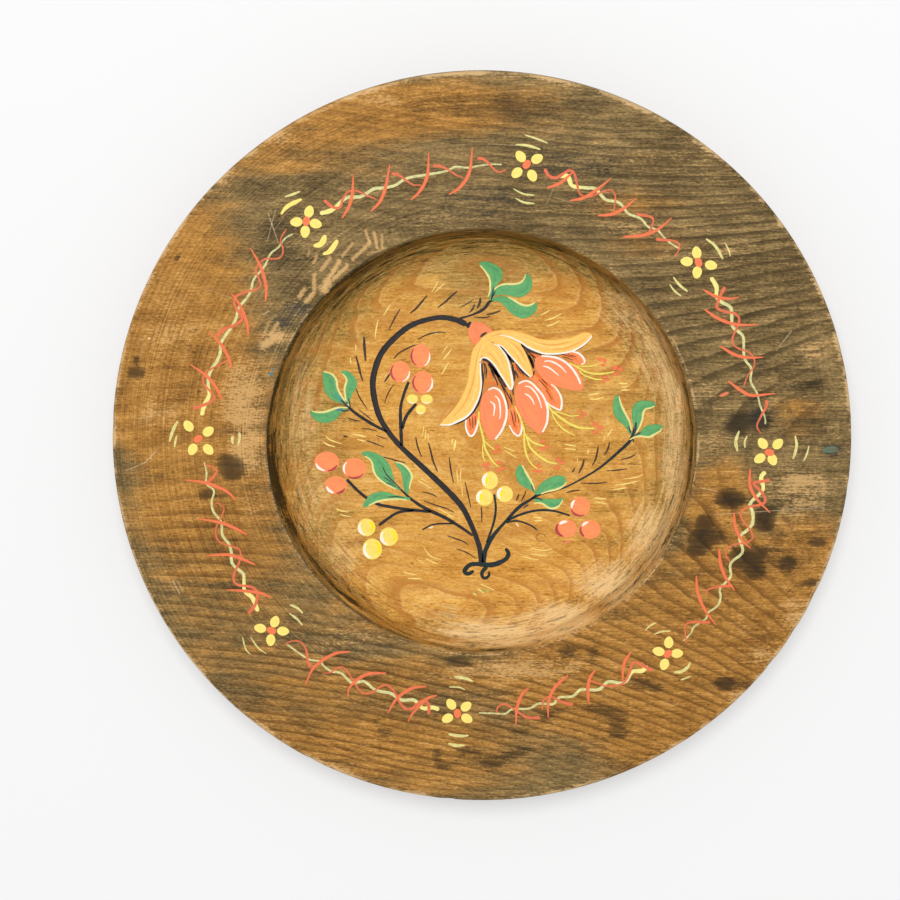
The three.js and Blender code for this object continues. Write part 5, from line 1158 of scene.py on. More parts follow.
# Berries: place, half axes, then crescents as [paint, from degrees, to degrees, share of radius, width].
leftMaroon = ("maroon", 130, 250, 0.86, 0.8)
rimmed = [("white", 200, 320, 0.8, 0.4)]
sunLow = [("white", 130, 270, 0.8, 1.2), ("brightYellow", -55, 75, 0.72, 1.3)]
sunMiddle = [("white", 105, 235, 0.78, 1.3), ("brightYellow", 110, 240, 0.42, 1.1)]
berries = {
    "arch": [(-19.06, 25.44, 3.26, 3.82, [leftMaroon, ("white", -70, 20, 0.9, 0.7)]),
             (-25.4, 20.4, 3.26, 3.47, [leftMaroon, ("white", -80, 10, 0.9, 0.7)]),
             (-18.4, 17.06, 3.44, 3.68, [leftMaroon, ("white", -70, 30, 0.9, 0.7)])],
    "arch_small": [(-21.6, 11.8, 1.75, 1.55, rimmed),
                   (-17.1, 11.8, 1.9, 1.55, rimmed),
                   (-19, 8.5, 1.6, 1.55, rimmed)],
    "left": [(-48.5, -8.1, 3.96, 3.3, [("white", 180, 265, 0.84, 1.1), ("maroon", 268, 345, 0.86, 0.9)]),
             (-39.9, -10.2, 3.86, 3.4, [("white", 130, 220, 0.86, 0.8), ("maroon", 230, 330, 0.88, 0.8)]),
             (-45.7, -15.5, 3.5, 3, [("white", 180, 262, 0.82, 1.2), ("maroon", 265, 345, 0.86, 0.9)])],
    "lower_left": [(-36.2, -29, 2.85, 2.9, sunLow),
                   (-29.2, -32, 2.9, 3.06, sunLow),
                   (-34.4, -35.9, 3.1, 3.4, sunLow)],
    "middle": [(2.64, -13.97, 2.57, 2.9, sunMiddle),
               (7.3, -18.3, 2.6, 2.64, sunMiddle),
               (0.9, -19.4, 2.7, 2.7, sunMiddle)],
    "right": [(31, -22.3, 3.24, 3.2, [("white", 120, 200, 0.82, 1), ("maroon", 190, 300, 0.9, 0.9)]),
              (26.6, -29.3, 3.4, 2.96, [("white", 75, 150, 0.76, 1.2), ("maroon", 140, 260, 0.88, 1.2)]),
              (34.1, -29.6, 3.4, 3.1, [("white", 95, 160, 0.78, 1.1), ("maroon", 155, 240, 0.88, 1)])],
}


# Widths along a leaf's pale stroke, and shares of the width along a fine stroke and a crescent.
sprayBrush = {"paleEdge": [0.35, 0.75, 0.7, 0.4], "fine": [0.55, 1, 0.5], "crescent": [0.3, 1, 0.3]}
yellowBerries = ("arch_small", "lower_left", "middle")


def thin(strokes, colour, coat=1):
    # Short strokes, each its width and then its points, fine at both ends.
    return [tapered(path, width, sprayBrush["fine"], colour, coat) for width, *path in strokes]


def makeStem():
    marks = [brushed(path, widths, "stem") for path, widths in stems]
    marks += [brushed(path, widths, "stemGreen") for path, widths in greenStems]
    layPaint("stem", marks, ["spray_stem"])
    scroll = [brushed(path, widths, "stemGreen", 2) for path, widths in scrolls]
    layPaint("footScroll", scroll, ["spray_foot_scroll"])


def makeSprig(name, leaves, edges, twigs):
    marks = [between(first, second, "leaf", 2 + 0.3 * k) for k, (first, second) in enumerate(leaves)]
    for leaf, (side, first, last, before, after) in zip(leaves, edges):
        path = [*before, *leaf[side][::-1][first:last], *after]
        marks.append(brushed(path, sprayBrush["paleEdge"], "leafEdge", 4))
    marks += thin(twigs, "twig", 5)
    layPaint("leaves_" + name, marks, ["leaves_" + name])


def makeBerry(name, number, x, y, wide, tall, crescents):
    yellow = name in yellowBerries
    marks = [dab(x, y, wide, tall, "berryYellow" if yellow else "coral", 2)]
    for k, (paint, start, stop, share, width) in enumerate(crescents):
        turn = np.radians(np.linspace(start, stop, 7))
        path = np.stack([x + share * wide * np.cos(turn), y + share * tall * np.sin(turn)], axis=1)
        marks.append(tapered(path, width, sprayBrush["crescent"], paint, 3.5 + k))
    layPaint(f"berry_{name}_{number}_paint", marks, [f"berry_{name}_{number}"])


makeStem()
for name, parts in sprigs.items():
    makeSprig(name, **parts)
for name, trio in berries.items():
    for number, parts in enumerate(trio, 1):
        makeBerry(name, number, *parts)
print("stem, leaves and berries painted")


# The bell flower, from its deepest paint to its topmost. Shapes are pairs of edges with the same ends.
bellShapes = [
    ([(1, 29.5), (-0.6, 26), (-1.4, 22), (-1.2, 18), (-1.6, 14), (-3, 10), (-4.6, 7), (-2.6, 6.4)],
     [(1, 29.5), (6, 26), (10, 21), (13, 17), (14, 13), (11, 9.6), (6, 8.4), (-2.6, 6.4)]),
    ([(8, 31), (9, 26), (11, 20), (15, 14), (20, 11.2), (24, 12)],
     [(8, 31), (18, 29.4), (26, 27), (29.6, 25), (27, 20), (24, 12)]),
]
lobes = [
    ([(-2.6, 7.6), (-4.6, 6.6), (-4.9, 3.1), (-4.2, 0.9), (-3.1, 0.1)],
     [(-2.6, 7.6), (-0.9, 6.4), (-1.2, 3.9), (-2, 1.4), (-3.1, 0.1)]),
    ([(9.6, 9.6), (8, 7.6), (8.6, 3.7), (9.9, 1.4), (11.5, 0.2)],
     [(9.6, 9.6), (11.4, 8), (12.7, 3.9), (12.4, 1.4), (11.5, 0.2)]),
    ([(15.8, 20.6), (15, 18.6), (17, 16.6), (18.8, 14), (20.1, 11.2), (21.2, 10.1), (23.2, 8.9),
      (24.7, 8.4)],
     [(15.8, 20.6), (18, 19), (20.6, 17.3), (23.2, 15.3), (24.6, 13.1), (25.1, 10.9), (24.7, 8.4)]),
    ([(24.6, 25.6), (27.1, 24.9), (28.7, 23.3), (30.4, 22.6), (31.4, 22.9)],
     [(24.6, 25.6), (27.6, 26.9), (29.6, 26.5), (31.2, 25.5), (32.2, 23.8), (31.4, 22.9)]),
]
lobeEdges = [
    [(-4.8, 5.6), (-4.9, 3.1), (-4.2, 0.9), (-3.1, 0.1), (-2, 1.4), (-1.2, 3.9), (-0.9, 6.4)],
    [(8.6, 3.7), (9.9, 1.4), (11.5, 0.2), (12.4, 1.4), (12.7, 3.9), (11.9, 6.4), (10.9, 8.6)],
    [(21.5, 16.7), (23.2, 15.3), (24.6, 13.1), (25.1, 10.9), (24.9, 9.1), (24.7, 8.4), (23.2, 8.9),
     (21.2, 10.1), (20.1, 11.2)],
    [(27.6, 26.9), (29.6, 26.5), (31.2, 25.5), (32.2, 23.8), (31.8, 23.1), (30.9, 22.6)],
]
# Fine strokes in and round the bell, each as its width and then its points.
throatShade = [
    (1.5, (0.1, 24.4), (1.7, 24), (3, 22.7), (4.3, 21), (6.2, 17.8), (7.8, 15.4)),
    (1.5, (2, 23.2), (3.2, 21.6), (4.6, 20), (5.8, 18.4)),
    (0.9, (0.1, 23.4), (0.2, 20.5), (0.5, 18.4), (0.2, 15)),
    (0.6, (0.9, 23.4), (1.5, 21.4), (1.5, 19.6), (1.3, 18.2)), (0.35, (0.6, 23.8), (1, 21), (0.9, 19)),
    (0.55, (3.1, 21.4), (4, 19.2), (4.9, 17), (5.1, 15.8)), (0.35, (2.6, 21.8), (3.4, 19.8), (3.8, 18.2)),
    (0.6, (4.6, 19.6), (5.8, 17.2), (7.4, 14.6), (8.8, 12.2), (9.7, 10.2)),
    (0.35, (6, 16.6), (7.2, 14), (8, 11.4)), (0.4, (8.8, 13.8), (9.4, 11.8), (9.6, 9.6)),
    (0.3, (7.4, 13.4), (8.2, 10.8), (8.5, 8.4)),
    (1.5, (4.4, 29.2), (6, 28.4), (7.4, 26.9), (8.8, 25), (10.4, 23.2)),
    (0.9, (7.6, 26.4), (8.8, 24.6), (9.5, 22.6)),
    (0.85, (10.4, 23.2), (12, 21.4), (13.6, 19.8), (15, 18.6)),
    (1, (9.6, 23), (9.8, 21), (10.3, 19), (9.9, 17)), (0.55, (10.4, 21), (11, 19.6), (11.6, 18.2)),
    (0.35, (10.6, 22.2), (11.8, 20.6), (12.6, 19.4)), (0.3, (11.6, 21.4), (12.8, 20), (13.4, 18.8)),
    (0.6, (9.9, 18), (9.8, 15.6), (9.9, 12.8)), (1, (12, 29.4), (13.6, 26.9), (15.1, 24.4), (16.3, 21.2)),
    (1.1, (14.6, 26), (15.7, 23.8), (16.4, 21.4)),
    (1, (12.2, 29.2), (14.4, 27.4), (16.8, 26.4), (19, 25.7)),
    (0.5, (13.8, 27.4), (15.6, 25.8), (17.2, 24.6)), (0.4, (14.6, 26.8), (16, 25.2), (16.8, 23.2)),
    (0.6, (19, 25.9), (22, 25.8), (25, 26), (27.6, 26.5)), (0.3, (-3.9, 6.4), (-3.6, 4.4), (-3.4, 2.8)),
    (0.35, (-2.9, 6.6), (-2.7, 4.6), (-2.8, 2.2)), (0.3, (-1.9, 6.8), (-1.8, 4.6), (-2, 3.2)),
    (0.35, (9, 8.6), (9.6, 6.4), (10, 4.2)), (0.35, (10, 8.6), (10.5, 6.6), (10.8, 4.2)),
    (0.25, (11, 8), (11.4, 6), (11.6, 4)), (0.25, (9.4, 6), (10, 4.6), (10.5, 2.6)),
    (0.3, (17.6, 18.2), (19.4, 16.4), (21, 14.4)), (0.25, (19.8, 15), (21.2, 13.2), (22, 11.4)),
    (0.3, (24.4, 26), (26.6, 25.5), (29, 24.9)), (0.3, (25, 25.3), (27, 24.7), (29, 24)),
    (0.25, (26.6, 26), (28.2, 25.6), (29.8, 25)),
]
throatGlow = [
    (0.9, (2.1, 21), (2.7, 19.6), (3.4, 17.8)), (0.6, (1, 18.6), (1.4, 17.2), (1.3, 15.6)),
    (0.8, (1.8, 17), (3.4, 16.9), (5, 16.4)), (0.8, (5.4, 17.4), (6.6, 15.4), (7.8, 12.6), (8.4, 9.6)),
    (0.6, (9.2, 13), (9, 11), (9.2, 8.6)), (1.6, (9.9, 23), (11.4, 21.4), (13.4, 19.2)),
    (0.8, (11.6, 19.6), (12.8, 18.8), (14.2, 18.2)), (0.9, (14.6, 27.2), (16, 25.9), (17.6, 24.9)),
    (0.5, (15.6, 26.6), (17.2, 25.9), (18.4, 25.7)),
    (1.5, (16.4, 20.4), (18.4, 18.2), (20.6, 15.2), (22.4, 11.4)),
    (0.7, (18.6, 18.4), (20.6, 16.6), (22.6, 14.4)), (0.7, (-3.6, 6), (-3.3, 4), (-3.2, 1.6)),
    (0.5, (-2, 6.2), (-2.2, 4), (-2.6, 2)), (0.8, (9.4, 8), (10.2, 5), (11.2, 2)),
    (0.5, (11, 7.6), (11.8, 5), (11.8, 2.6)), (0.7, (25.4, 25.9), (27.8, 25.3), (30.2, 24.4)),
]
outerShade = [
    (1.3, (0, 23), (-0.1, 19), (-0.1, 15), (-1, 11), (-3, 7.5), (-6, 5), (-10, 3.6)),
    (1, (34, 31), (32.2, 29.3), (30, 27.7), (27.6, 26.8)), (0.7, (15.6, 18.4), (16.3, 20), (16.5, 21)),
]
sepals = [
    ([(-0.5, 30.4), (0.2, 31.3), (1.9, 32.4), (4.4, 33.3), (7.2, 33.6), (9.9, 33.4), (12.7, 32.7),
      (15.5, 31.8), (18.3, 30.8), (22.3, 30.5), (25.1, 30.8), (27.9, 31.3), (30.1, 32.2), (31.8, 32.9),
      (33.4, 32.7), (34.4, 32.2)],
     [(0.5, 29.4), (3, 31), (5.5, 32), (8, 31.6), (10.2, 30.8), (12.2, 29.8), (14.4, 28.3), (16.9, 27.1),
      (19.6, 26.2), (22.3, 26.1), (25.1, 26.3), (27.9, 26.9), (30.1, 27.9), (32.3, 29.4), (33.9, 31.1),
      (34.4, 32.2)]),
    ([(2, 30.6), (4.7, 29.1), (6.6, 28.3), (8.6, 26.1), (10.8, 23.6), (13, 21.1), (15.5, 18.7)],
     [(4.6, 32.6), (8, 31.6), (11.8, 29.8), (12.4, 28.8), (13.6, 26.9), (14.7, 24.4), (15.5, 21.9),
      (16.1, 19.4), (15.5, 18.7)]),
    ([(-0.4, 27.4), (0.4, 25.2), (1.6, 24.8), (3, 23.8), (4.4, 22.2), (5.8, 19.9), (7.2, 17.8), (8.3, 16),
      (9.2, 14.9)],
     [(1.6, 31), (3.6, 29.4), (5.2, 28.6), (6.9, 26.6), (8, 24.7), (8.8, 21.9), (9.4, 19.2), (9.7, 16.4),
      (9.2, 14.9)]),
    ([(1.4, 32), (-0.9, 29.9), (-2.8, 27.2), (-3.8, 21.9), (-4.6, 16.8), (-7.6, 10.3), (-13.2, 3.7)],
     [(3.6, 29.4), (1, 26.5), (-0.4, 24), (-0.3, 20), (-0.1, 17.8), (-0.2, 15.3), (-0.8, 12.6), (-2, 9.8),
      (-3.4, 7.6), (-5.3, 5.9), (-7.6, 4.8), (-9.8, 3.8), (-13.2, 3.7)]),
]
sepalTones = [
    ([(0, 29), (-1.4, 25), (-2.2, 20), (-3, 16), (-5.2, 10.6), (-9, 6.2)], 0.7, "ochreDeep"),
    ([(1, 29.6), (-0.6, 26), (-1.2, 21), (-1.7, 16), (-3.4, 10.6), (-7, 6.6)], 0.8, "ochrePale"),
    ([(2.6, 31.4), (6, 32.5), (10, 32.1), (14, 30.7), (18, 29.3), (23, 29), (28, 30)], 0.8, "ochreDeep"),
    ([(6, 32.7), (11, 31.9), (16, 29.7), (21, 28.2), (26, 28.4), (30, 30)], 0.9, "ochrePale"),
    ([(22, 27.6), (26, 27.8), (30, 29.4), (32.6, 31)], 0.6, "ochreDeep"),
    ([(1.6, 28.4), (4, 26.6), (6, 23), (7.4, 19.6)], 0.8, "ochrePale"),
    ([(1.4, 26.8), (3.6, 25.2), (5.4, 22.4)], 0.5, "ochreDeep"),
    ([(6, 31), (9.4, 29), (12, 25.4), (13.8, 22)], 0.8, "ochrePale"),
    ([(9, 29.8), (12, 27.2), (14, 23.6)], 0.5, "ochreDeep"),
]
# White strokes along the sepals' own edges, and the widths along them.
sepalEdges = [
    (sepals[3][1][2:], [0.5, 0.6, 0.6, 0.7, 0.8, 0.3]),
    ([(-0.4, 23), (-0.4, 24.1), (0.3, 24.9), *sepals[2][0][2:8], *sepals[2][1][:0:-1]],
     [0.4, 0.6, 0.6, 0.6, 0.8, 0.6, 0.5, 0.3]),
    (sepals[1][0][1:], [0.3, 0.5, 0.6, 0.5]),
    ([*sepals[0][1][2:15], (34.3, 32)], [0.25, 0.5, 0.7, 0.6, 0.6, 0.7, 0.5]),
]
calyx = ([(-3.1, 36), (0.2, 35.8), (2.4, 34.4), (3.7, 33)],
         [(-3.1, 36), (-4.2, 32.4), (-2, 28.7), (0.6, 31.8), (3.7, 33)])
calyxShade = [(0.9, (-0.5, 31.1), (0.3, 32), (1.9, 33))]
buds = [
    {"outline": (
         [(1.9, 14.8), (0.2, 12.6), (-0.5, 10.1), (-0.6, 7.6), (-0.1, 4.2), (1.1, 1.2), (2.4, -0.8),
          (4.1, -1.2)],
         [(1.9, 14.8), (3.8, 15.5), (5.8, 14.5), (7.2, 12), (7.9, 9.2), (7.9, 6.4), (7.2, 3.7), (6.1, 1.4),
          (4.1, -1.2)]),
     "edge": [
         (1.9, 14.6), (3.8, 15.4), (5.8, 14.4), (7.1, 12), (7.8, 9.2), (7.8, 6.4), (7.1, 3.7), (6, 1.4),
         (4.2, -1)],
     "arcs": [
         [(2.4, 11.3), (4, 10.1), (4, 8.1), (3.7, 6.2)],
         [(4, 13.1), (5.4, 11.7), (5.8, 9.5), (5.9, 7), (5.6, 5.3)]]},
    {"outline": (
         [(11.3, 16.6), (10.9, 16), (10.4, 14.2), (10.4, 11.4), (11.1, 8.9), (12.4, 6.4), (14.4, 3.7),
          (16.3, 2), (17.9, 0.7)],
         [(11.3, 16.6), (13.6, 17.7), (15.5, 17.1), (17.4, 15.3), (19.4, 12.8), (20.7, 9.2), (20.8, 6.4),
          (20.4, 3.9), (19, 1.2), (17.9, 0.7)]),
     "edge": [
         (11.3, 16.6), (13.6, 17.6), (15.5, 17), (17.3, 15.2), (19.3, 12.7), (20.6, 9.2), (20.7, 6.4),
         (20.3, 3.9), (19, 1.2)],
     "arcs": [
         [(13.3, 13.7), (14.9, 12.8), (16.1, 11.2), (16.5, 9.8)],
         [(13.3, 15.9), (15.2, 15.6), (17.2, 13.4), (18.3, 10.9), (18.8, 8.7)]]},
    {"outline": (
         [(18.3, 25.5), (16.8, 24.7), (16.6, 23.3), (16.9, 21.1), (18.3, 19.1), (19.6, 17.3), (22.1, 16.3),
          (25.1, 15.3), (27.9, 14.6), (30.7, 14.5), (31.8, 15.1)],
         [(18.3, 25.5), (21.2, 25.6), (23.7, 25.2), (25.9, 24.4), (27.9, 23), (29.1, 22), (30.4, 20.1),
          (31.2, 18.4), (31.8, 16.4), (31.8, 15.1)]),
     "edge": [(18.4, 25.4), (21.8, 25.2), (24.6, 24.4), (27.1, 22.7), (29, 20.5), (30.4, 18), (30.9, 16.3)],
     "arcs": [
         [(19.3, 23.7), (21.5, 23.8), (24, 22.6), (25.7, 21.1), (26.6, 19.9)],
         [(18.9, 22.3), (20.7, 21.9), (22.3, 20.8), (24.3, 19.1)]]},
]
filaments = [
    [(0.65, (-0.8, 8.1), (-0.8, 5.3), (-0.2, 2.6), (0.5, -0.2), (1.1, -3.6), (2.2, -5.8), (3.6, -8),
      (5.5, -9.7)), (0.45, (0.5, -0.8), (1.9, -2.4), (3, -3.3), (4.3, -4.4)),
     (0.4, (0.4, -2.4), (0.4, -4.7), (0.6, -6.6), (1.2, -8))],
    [(0.6, (10.4, 9.8), (11.3, 7.6), (12.3, 5.3), (13.1, 3.1), (13.4, 0.9), (13.4, -1.9), (13.8, -4.7),
      (14.7, -7.2), (16.1, -9.1), (17.7, -10.2)),
     (0.6, (13.2, 2.2), (13.6, 0.9), (15.2, -1.1), (16.9, -2.2), (20, -3.1)),
     (0.7, (13.9, 0), (14.4, -1.1), (15.2, -3.3), (16.9, -5.2), (18.6, -6.6), (20.9, -8), (23.7, -8.7))],
    [(0.75, (20.8, 10.1), (21.8, 8.4), (23.4, 7), (25.7, 5.3), (27.9, 3.9), (30.7, 2.8), (33.4, 2.6),
      (35.4, 2.6)), (0.5, (22, 8), (22.3, 6.7), (23.4, 4.8), (25.1, 2.8), (27.1, 1.4), (29.4, 0.2)),
     (0.4, (22.6, 7.9), (24.3, 7.6), (25.9, 7.1), (27.9, 6.5), (30.7, 6.7))],
    [(0.6, (27.3, 23.3), (29, 22.4), (30.4, 21.6), (32.3, 20.6), (34.6, 19.9), (37.1, 19.8), (39.6, 20.1),
      (41.6, 20.5)), (0.4, (29.4, 22.2), (31.2, 22.2), (33.4, 22.2), (35.1, 22.4), (36.8, 23.1)),
     (0.5, (30.4, 20.9), (31.8, 19.5), (33.7, 18.7), (35.7, 18.1), (38, 18))],
]
# Anther dots: x, y, half width, half height.
dots = [
    (5, -3.3, 0.75, 0.6), (4.1, -4.8, 0.6, 0.6), (5.6, -4.8, 0.6, 0.6), (2.1, -8.8, 0.7, 0.6),
    (0.9, -9.1, 0.6, 0.6), (2, -10.4, 0.55, 0.5), (5.6, -8.3, 0.7, 0.6), (6.6, -10.1, 0.75, 0.6),
    (5, -10.7, 0.6, 0.6), (18, -9.4, 0.7, 0.5), (16.8, -10.9, 0.8, 0.4), (18.3, -11.1, 1, 0.4),
    (19.3, -1.5, 0.65, 0.6), (20.5, -3.3, 0.6, 0.6), (19.1, -3.8, 0.75, 0.5), (23.9, -7.3, 0.7, 0.6),
    (25.1, -8.4, 0.8, 0.55), (23.6, -9.8, 0.85, 0.55), (30.7, 8.1, 0.6, 0.45), (32.2, 7.1, 0.8, 0.45),
    (30.8, 6.2, 0.6, 0.5), (35.6, 3.9, 0.95, 0.6), (37.2, 2.8, 1, 0.6), (35.8, 1.4, 1, 0.5),
    (36.8, 24.4, 0.7, 0.6), (38.4, 24, 0.6, 0.6), (37.9, 22.6, 0.7, 0.45), (41.6, 21.7, 0.85, 0.8),
    (43.2, 21.3, 0.8, 0.7), (41.9, 19.7, 1.05, 0.5), (38.4, 18.7, 0.7, 0.5), (39.5, 18.1, 0.6, 0.5),
    (37.9, 17.5, 0.7, 0.45),
]


# Widths along the white strokes, and shares of the width along a sepal's tone and a filament.
flowerBrush = {
    "lobeEdge": [0.4, 0.6, 0.7, 0.6, 0.4], "budEdge": [0.45, 0.75, 0.7, 0.8, 0.6],
    "budArc": [0.3, 0.6, 0.5, 0.25], "sepalTone": [0.3, 1, 0.4], "filament": [0.8, 1, 1.15, 0.7],
}


def makeFlower():
    marks = [between(a, b, "bell", 0.6 + 0.3 * k) for k, (a, b) in enumerate(bellShapes)]
    marks += [between(a, b, "lobe", 1.4) for a, b in lobes]
    marks += thin(throatGlow, "flame", 2)
    marks += thin(throatShade, "bellDark", 2.6)
    marks += thin(outerShade, "stem", 2)
    marks += [brushed(path, flowerBrush["lobeEdge"], "white", 2.6) for path in lobeEdges]
    layPaint("bellPaint", marks, ["flower_bell"])
    marks = [between(*calyx, "calyx", 3)] + thin(calyxShade, "spine", 4)
    layPaint("calyxPaint", marks, ["flower_calyx"])
    for number, bud in enumerate(buds, 1):
        marks = [between(*bud["outline"], "bud", 3)]
        marks.append(brushed(bud["edge"], flowerBrush["budEdge"], "white", 5))
        marks += [brushed(path, flowerBrush["budArc"], "white", 5) for path in bud["arcs"]]
        layPaint(f"budPaint{number}", marks, [f"flower_bud_{number}"])
    marks = [between(a, b, "ochre", 7 + 0.4 * k) for k, (a, b) in enumerate(sepals)]
    for k, (path, width, paint) in enumerate(sepalTones):
        marks.append(tapered(path, width, flowerBrush["sepalTone"], paint, 9 + 0.3 * k))
    marks += [brushed(path, widths, "white", 13) for path, widths in sepalEdges]
    layPaint("sepalPaint", marks, ["flower_sepals"])
    for number, strokes in enumerate(filaments, 1):
        marks = [tapered(path, width, flowerBrush["filament"], "filament", 9 - k)
                 for k, (width, *path) in enumerate(strokes)]
        layPaint(f"filament{number}", marks, [f"flower_filament_{number}"])
    marks = [dab(x, y, wide, tall, "dot", 9) for x, y, wide, tall in dots]
    layPaint("antherDots", marks)


makeFlower()
print("flower painted")

# Dark spines beside the stem and pale ticks scattered round the spray, as a width and then points.
spines = [
    (1, (-36.6, 31.6), (-36.5, 28.8), (-36.3, 26.1), (-36.1, 23.6)),
    (0.8, (-39.2, 25.6), (-38.5, 23), (-37.8, 19.9), (-37, 17.3)),
    (0.5, (-39.2, 15.3), (-38.2, 12.6), (-36.8, 10.3), (-35.6, 8.5)),
    (0.4, (-38.4, 8.4), (-36.3, 6.9), (-34.6, 5.5), (-33.6, 4.8)),
    (0.45, (-42, 5.8), (-39.9, 5.2), (-37.7, 4.8)), (0.4, (-37.8, 2.4), (-35.2, 2.3), (-32.3, 1.5)),
    (0.35, (-33.2, 0.5), (-31, -0.4), (-29.3, -0.9)), (0.6, (-43.4, 0.2), (-42.6, 0), (-41.8, -0.2)),
    (0.5, (-36.1, -1.3), (-33.8, -2.1), (-30.3, -3.5)), (0.5, (-30.9, -6.5), (-28.2, -7.2), (-23.6, -8.5)),
    (0.55, (-19.8, 30.5), (-17.6, 31.8), (-15.1, 32.6), (-12.8, 32.9), (-10.9, 32.7)),
    (0.6, (-27.4, 24.5), (-25.7, 26.3), (-23.2, 27.7), (-21.3, 28.6), (-19.3, 29)),
    (0.7, (-28.2, 20.3), (-29.5, 18.4), (-30.4, 17)),
    (0.45, (-27.3, 16.6), (-28.5, 14.8), (-29.6, 12.6), (-30.3, 10.2)),
    (0.55, (-25.2, 40.2), (-26.6, 38), (-27.9, 35.5), (-28.9, 33.6)),
    (0.8, (-22.3, 38.7), (-20.4, 40.2), (-18.5, 42.4), (-16.8, 44.5)),
    (0.7, (-7.4, 45.8), (-9.5, 44), (-11.4, 42.2), (-13.8, 40.5)),
    (0.4, (-2.3, 43.3), (-4.2, 41.9), (-7, 40.5)), (0.9, (-0.3, 43.8), (-0.5, 42.2), (-1.4, 40.1)),
    (0.65, (-2.1, 41.8), (-2.7, 40.2), (-3.9, 38.8)), (0.65, (6.1, 39.7), (3.8, 38.8), (1.3, 38.3)),
    (0.5, (2.9, 37.9), (0.8, 37.4), (-2.6, 37.6)),
    (0.6, (-20.6, 0.1), (-20.2, -2.4), (-19.5, -4.7), (-18.7, -6.6)),
    (0.7, (-16.6, -1.9), (-15.9, -4.7), (-15.1, -8), (-13.7, -11.3)),
    (0.6, (-10.1, -6.5), (-9.8, -9.1), (-9.4, -11.9), (-8.7, -14.9)),
    (0.5, (-5.2, -14.3), (-4.6, -16.9), (-3.8, -20.4), (-3.3, -22.9)),
    (0.5, (-0.1, -22.1), (0.1, -25), (0.1, -27.6)), (0.45, (-18.8, -17.6), (-16.4, -18.1), (-13.7, -19.3)),
    (0.5, (-18.1, -20.5), (-15.9, -21.3), (-13.7, -22.1), (-10.9, -23), (-8.4, -24.3)),
    (0.5, (-10.9, -31.6), (-8.1, -32.6), (-5.3, -33.7), (-4.1, -34.8)),
    (0.45, (-8.1, -35.8), (-5.6, -36.6), (-3.4, -37.8), (-1.4, -39.1)),
    (0.6, (11.8, -18.2), (11.4, -19.4), (10.8, -20.5)), (0.5, (14.1, -17.1), (13.3, -19), (12.4, -20.9)),
    (0.65, (40.1, -1.6), (39.7, -3.6), (39.1, -4.9), (38.3, -5.9)),
    (0.7, (36.6, -2.9), (36.2, -5.2), (35.7, -7.4), (34.6, -9.4)),
    (0.8, (32.2, -7), (31.8, -8.8), (31.1, -10.5), (30.4, -11.8)),
    (0.55, (29.3, -9.7), (28.9, -10.7), (28.2, -11.5)),
    (0.55, (48.4, -5.6), (46.8, -6.5), (45.1, -7), (43.4, -7.4)),
    (0.5, (45.8, -10.2), (43.2, -10.6), (41.2, -10.8), (39, -10.9)),
    (0.5, (39.6, -14.4), (37.3, -14.8), (34.6, -14.9), (30.9, -14.8)),
    (0.6, (31.1, -17), (28.7, -17.3), (26.5, -17.9)),
]
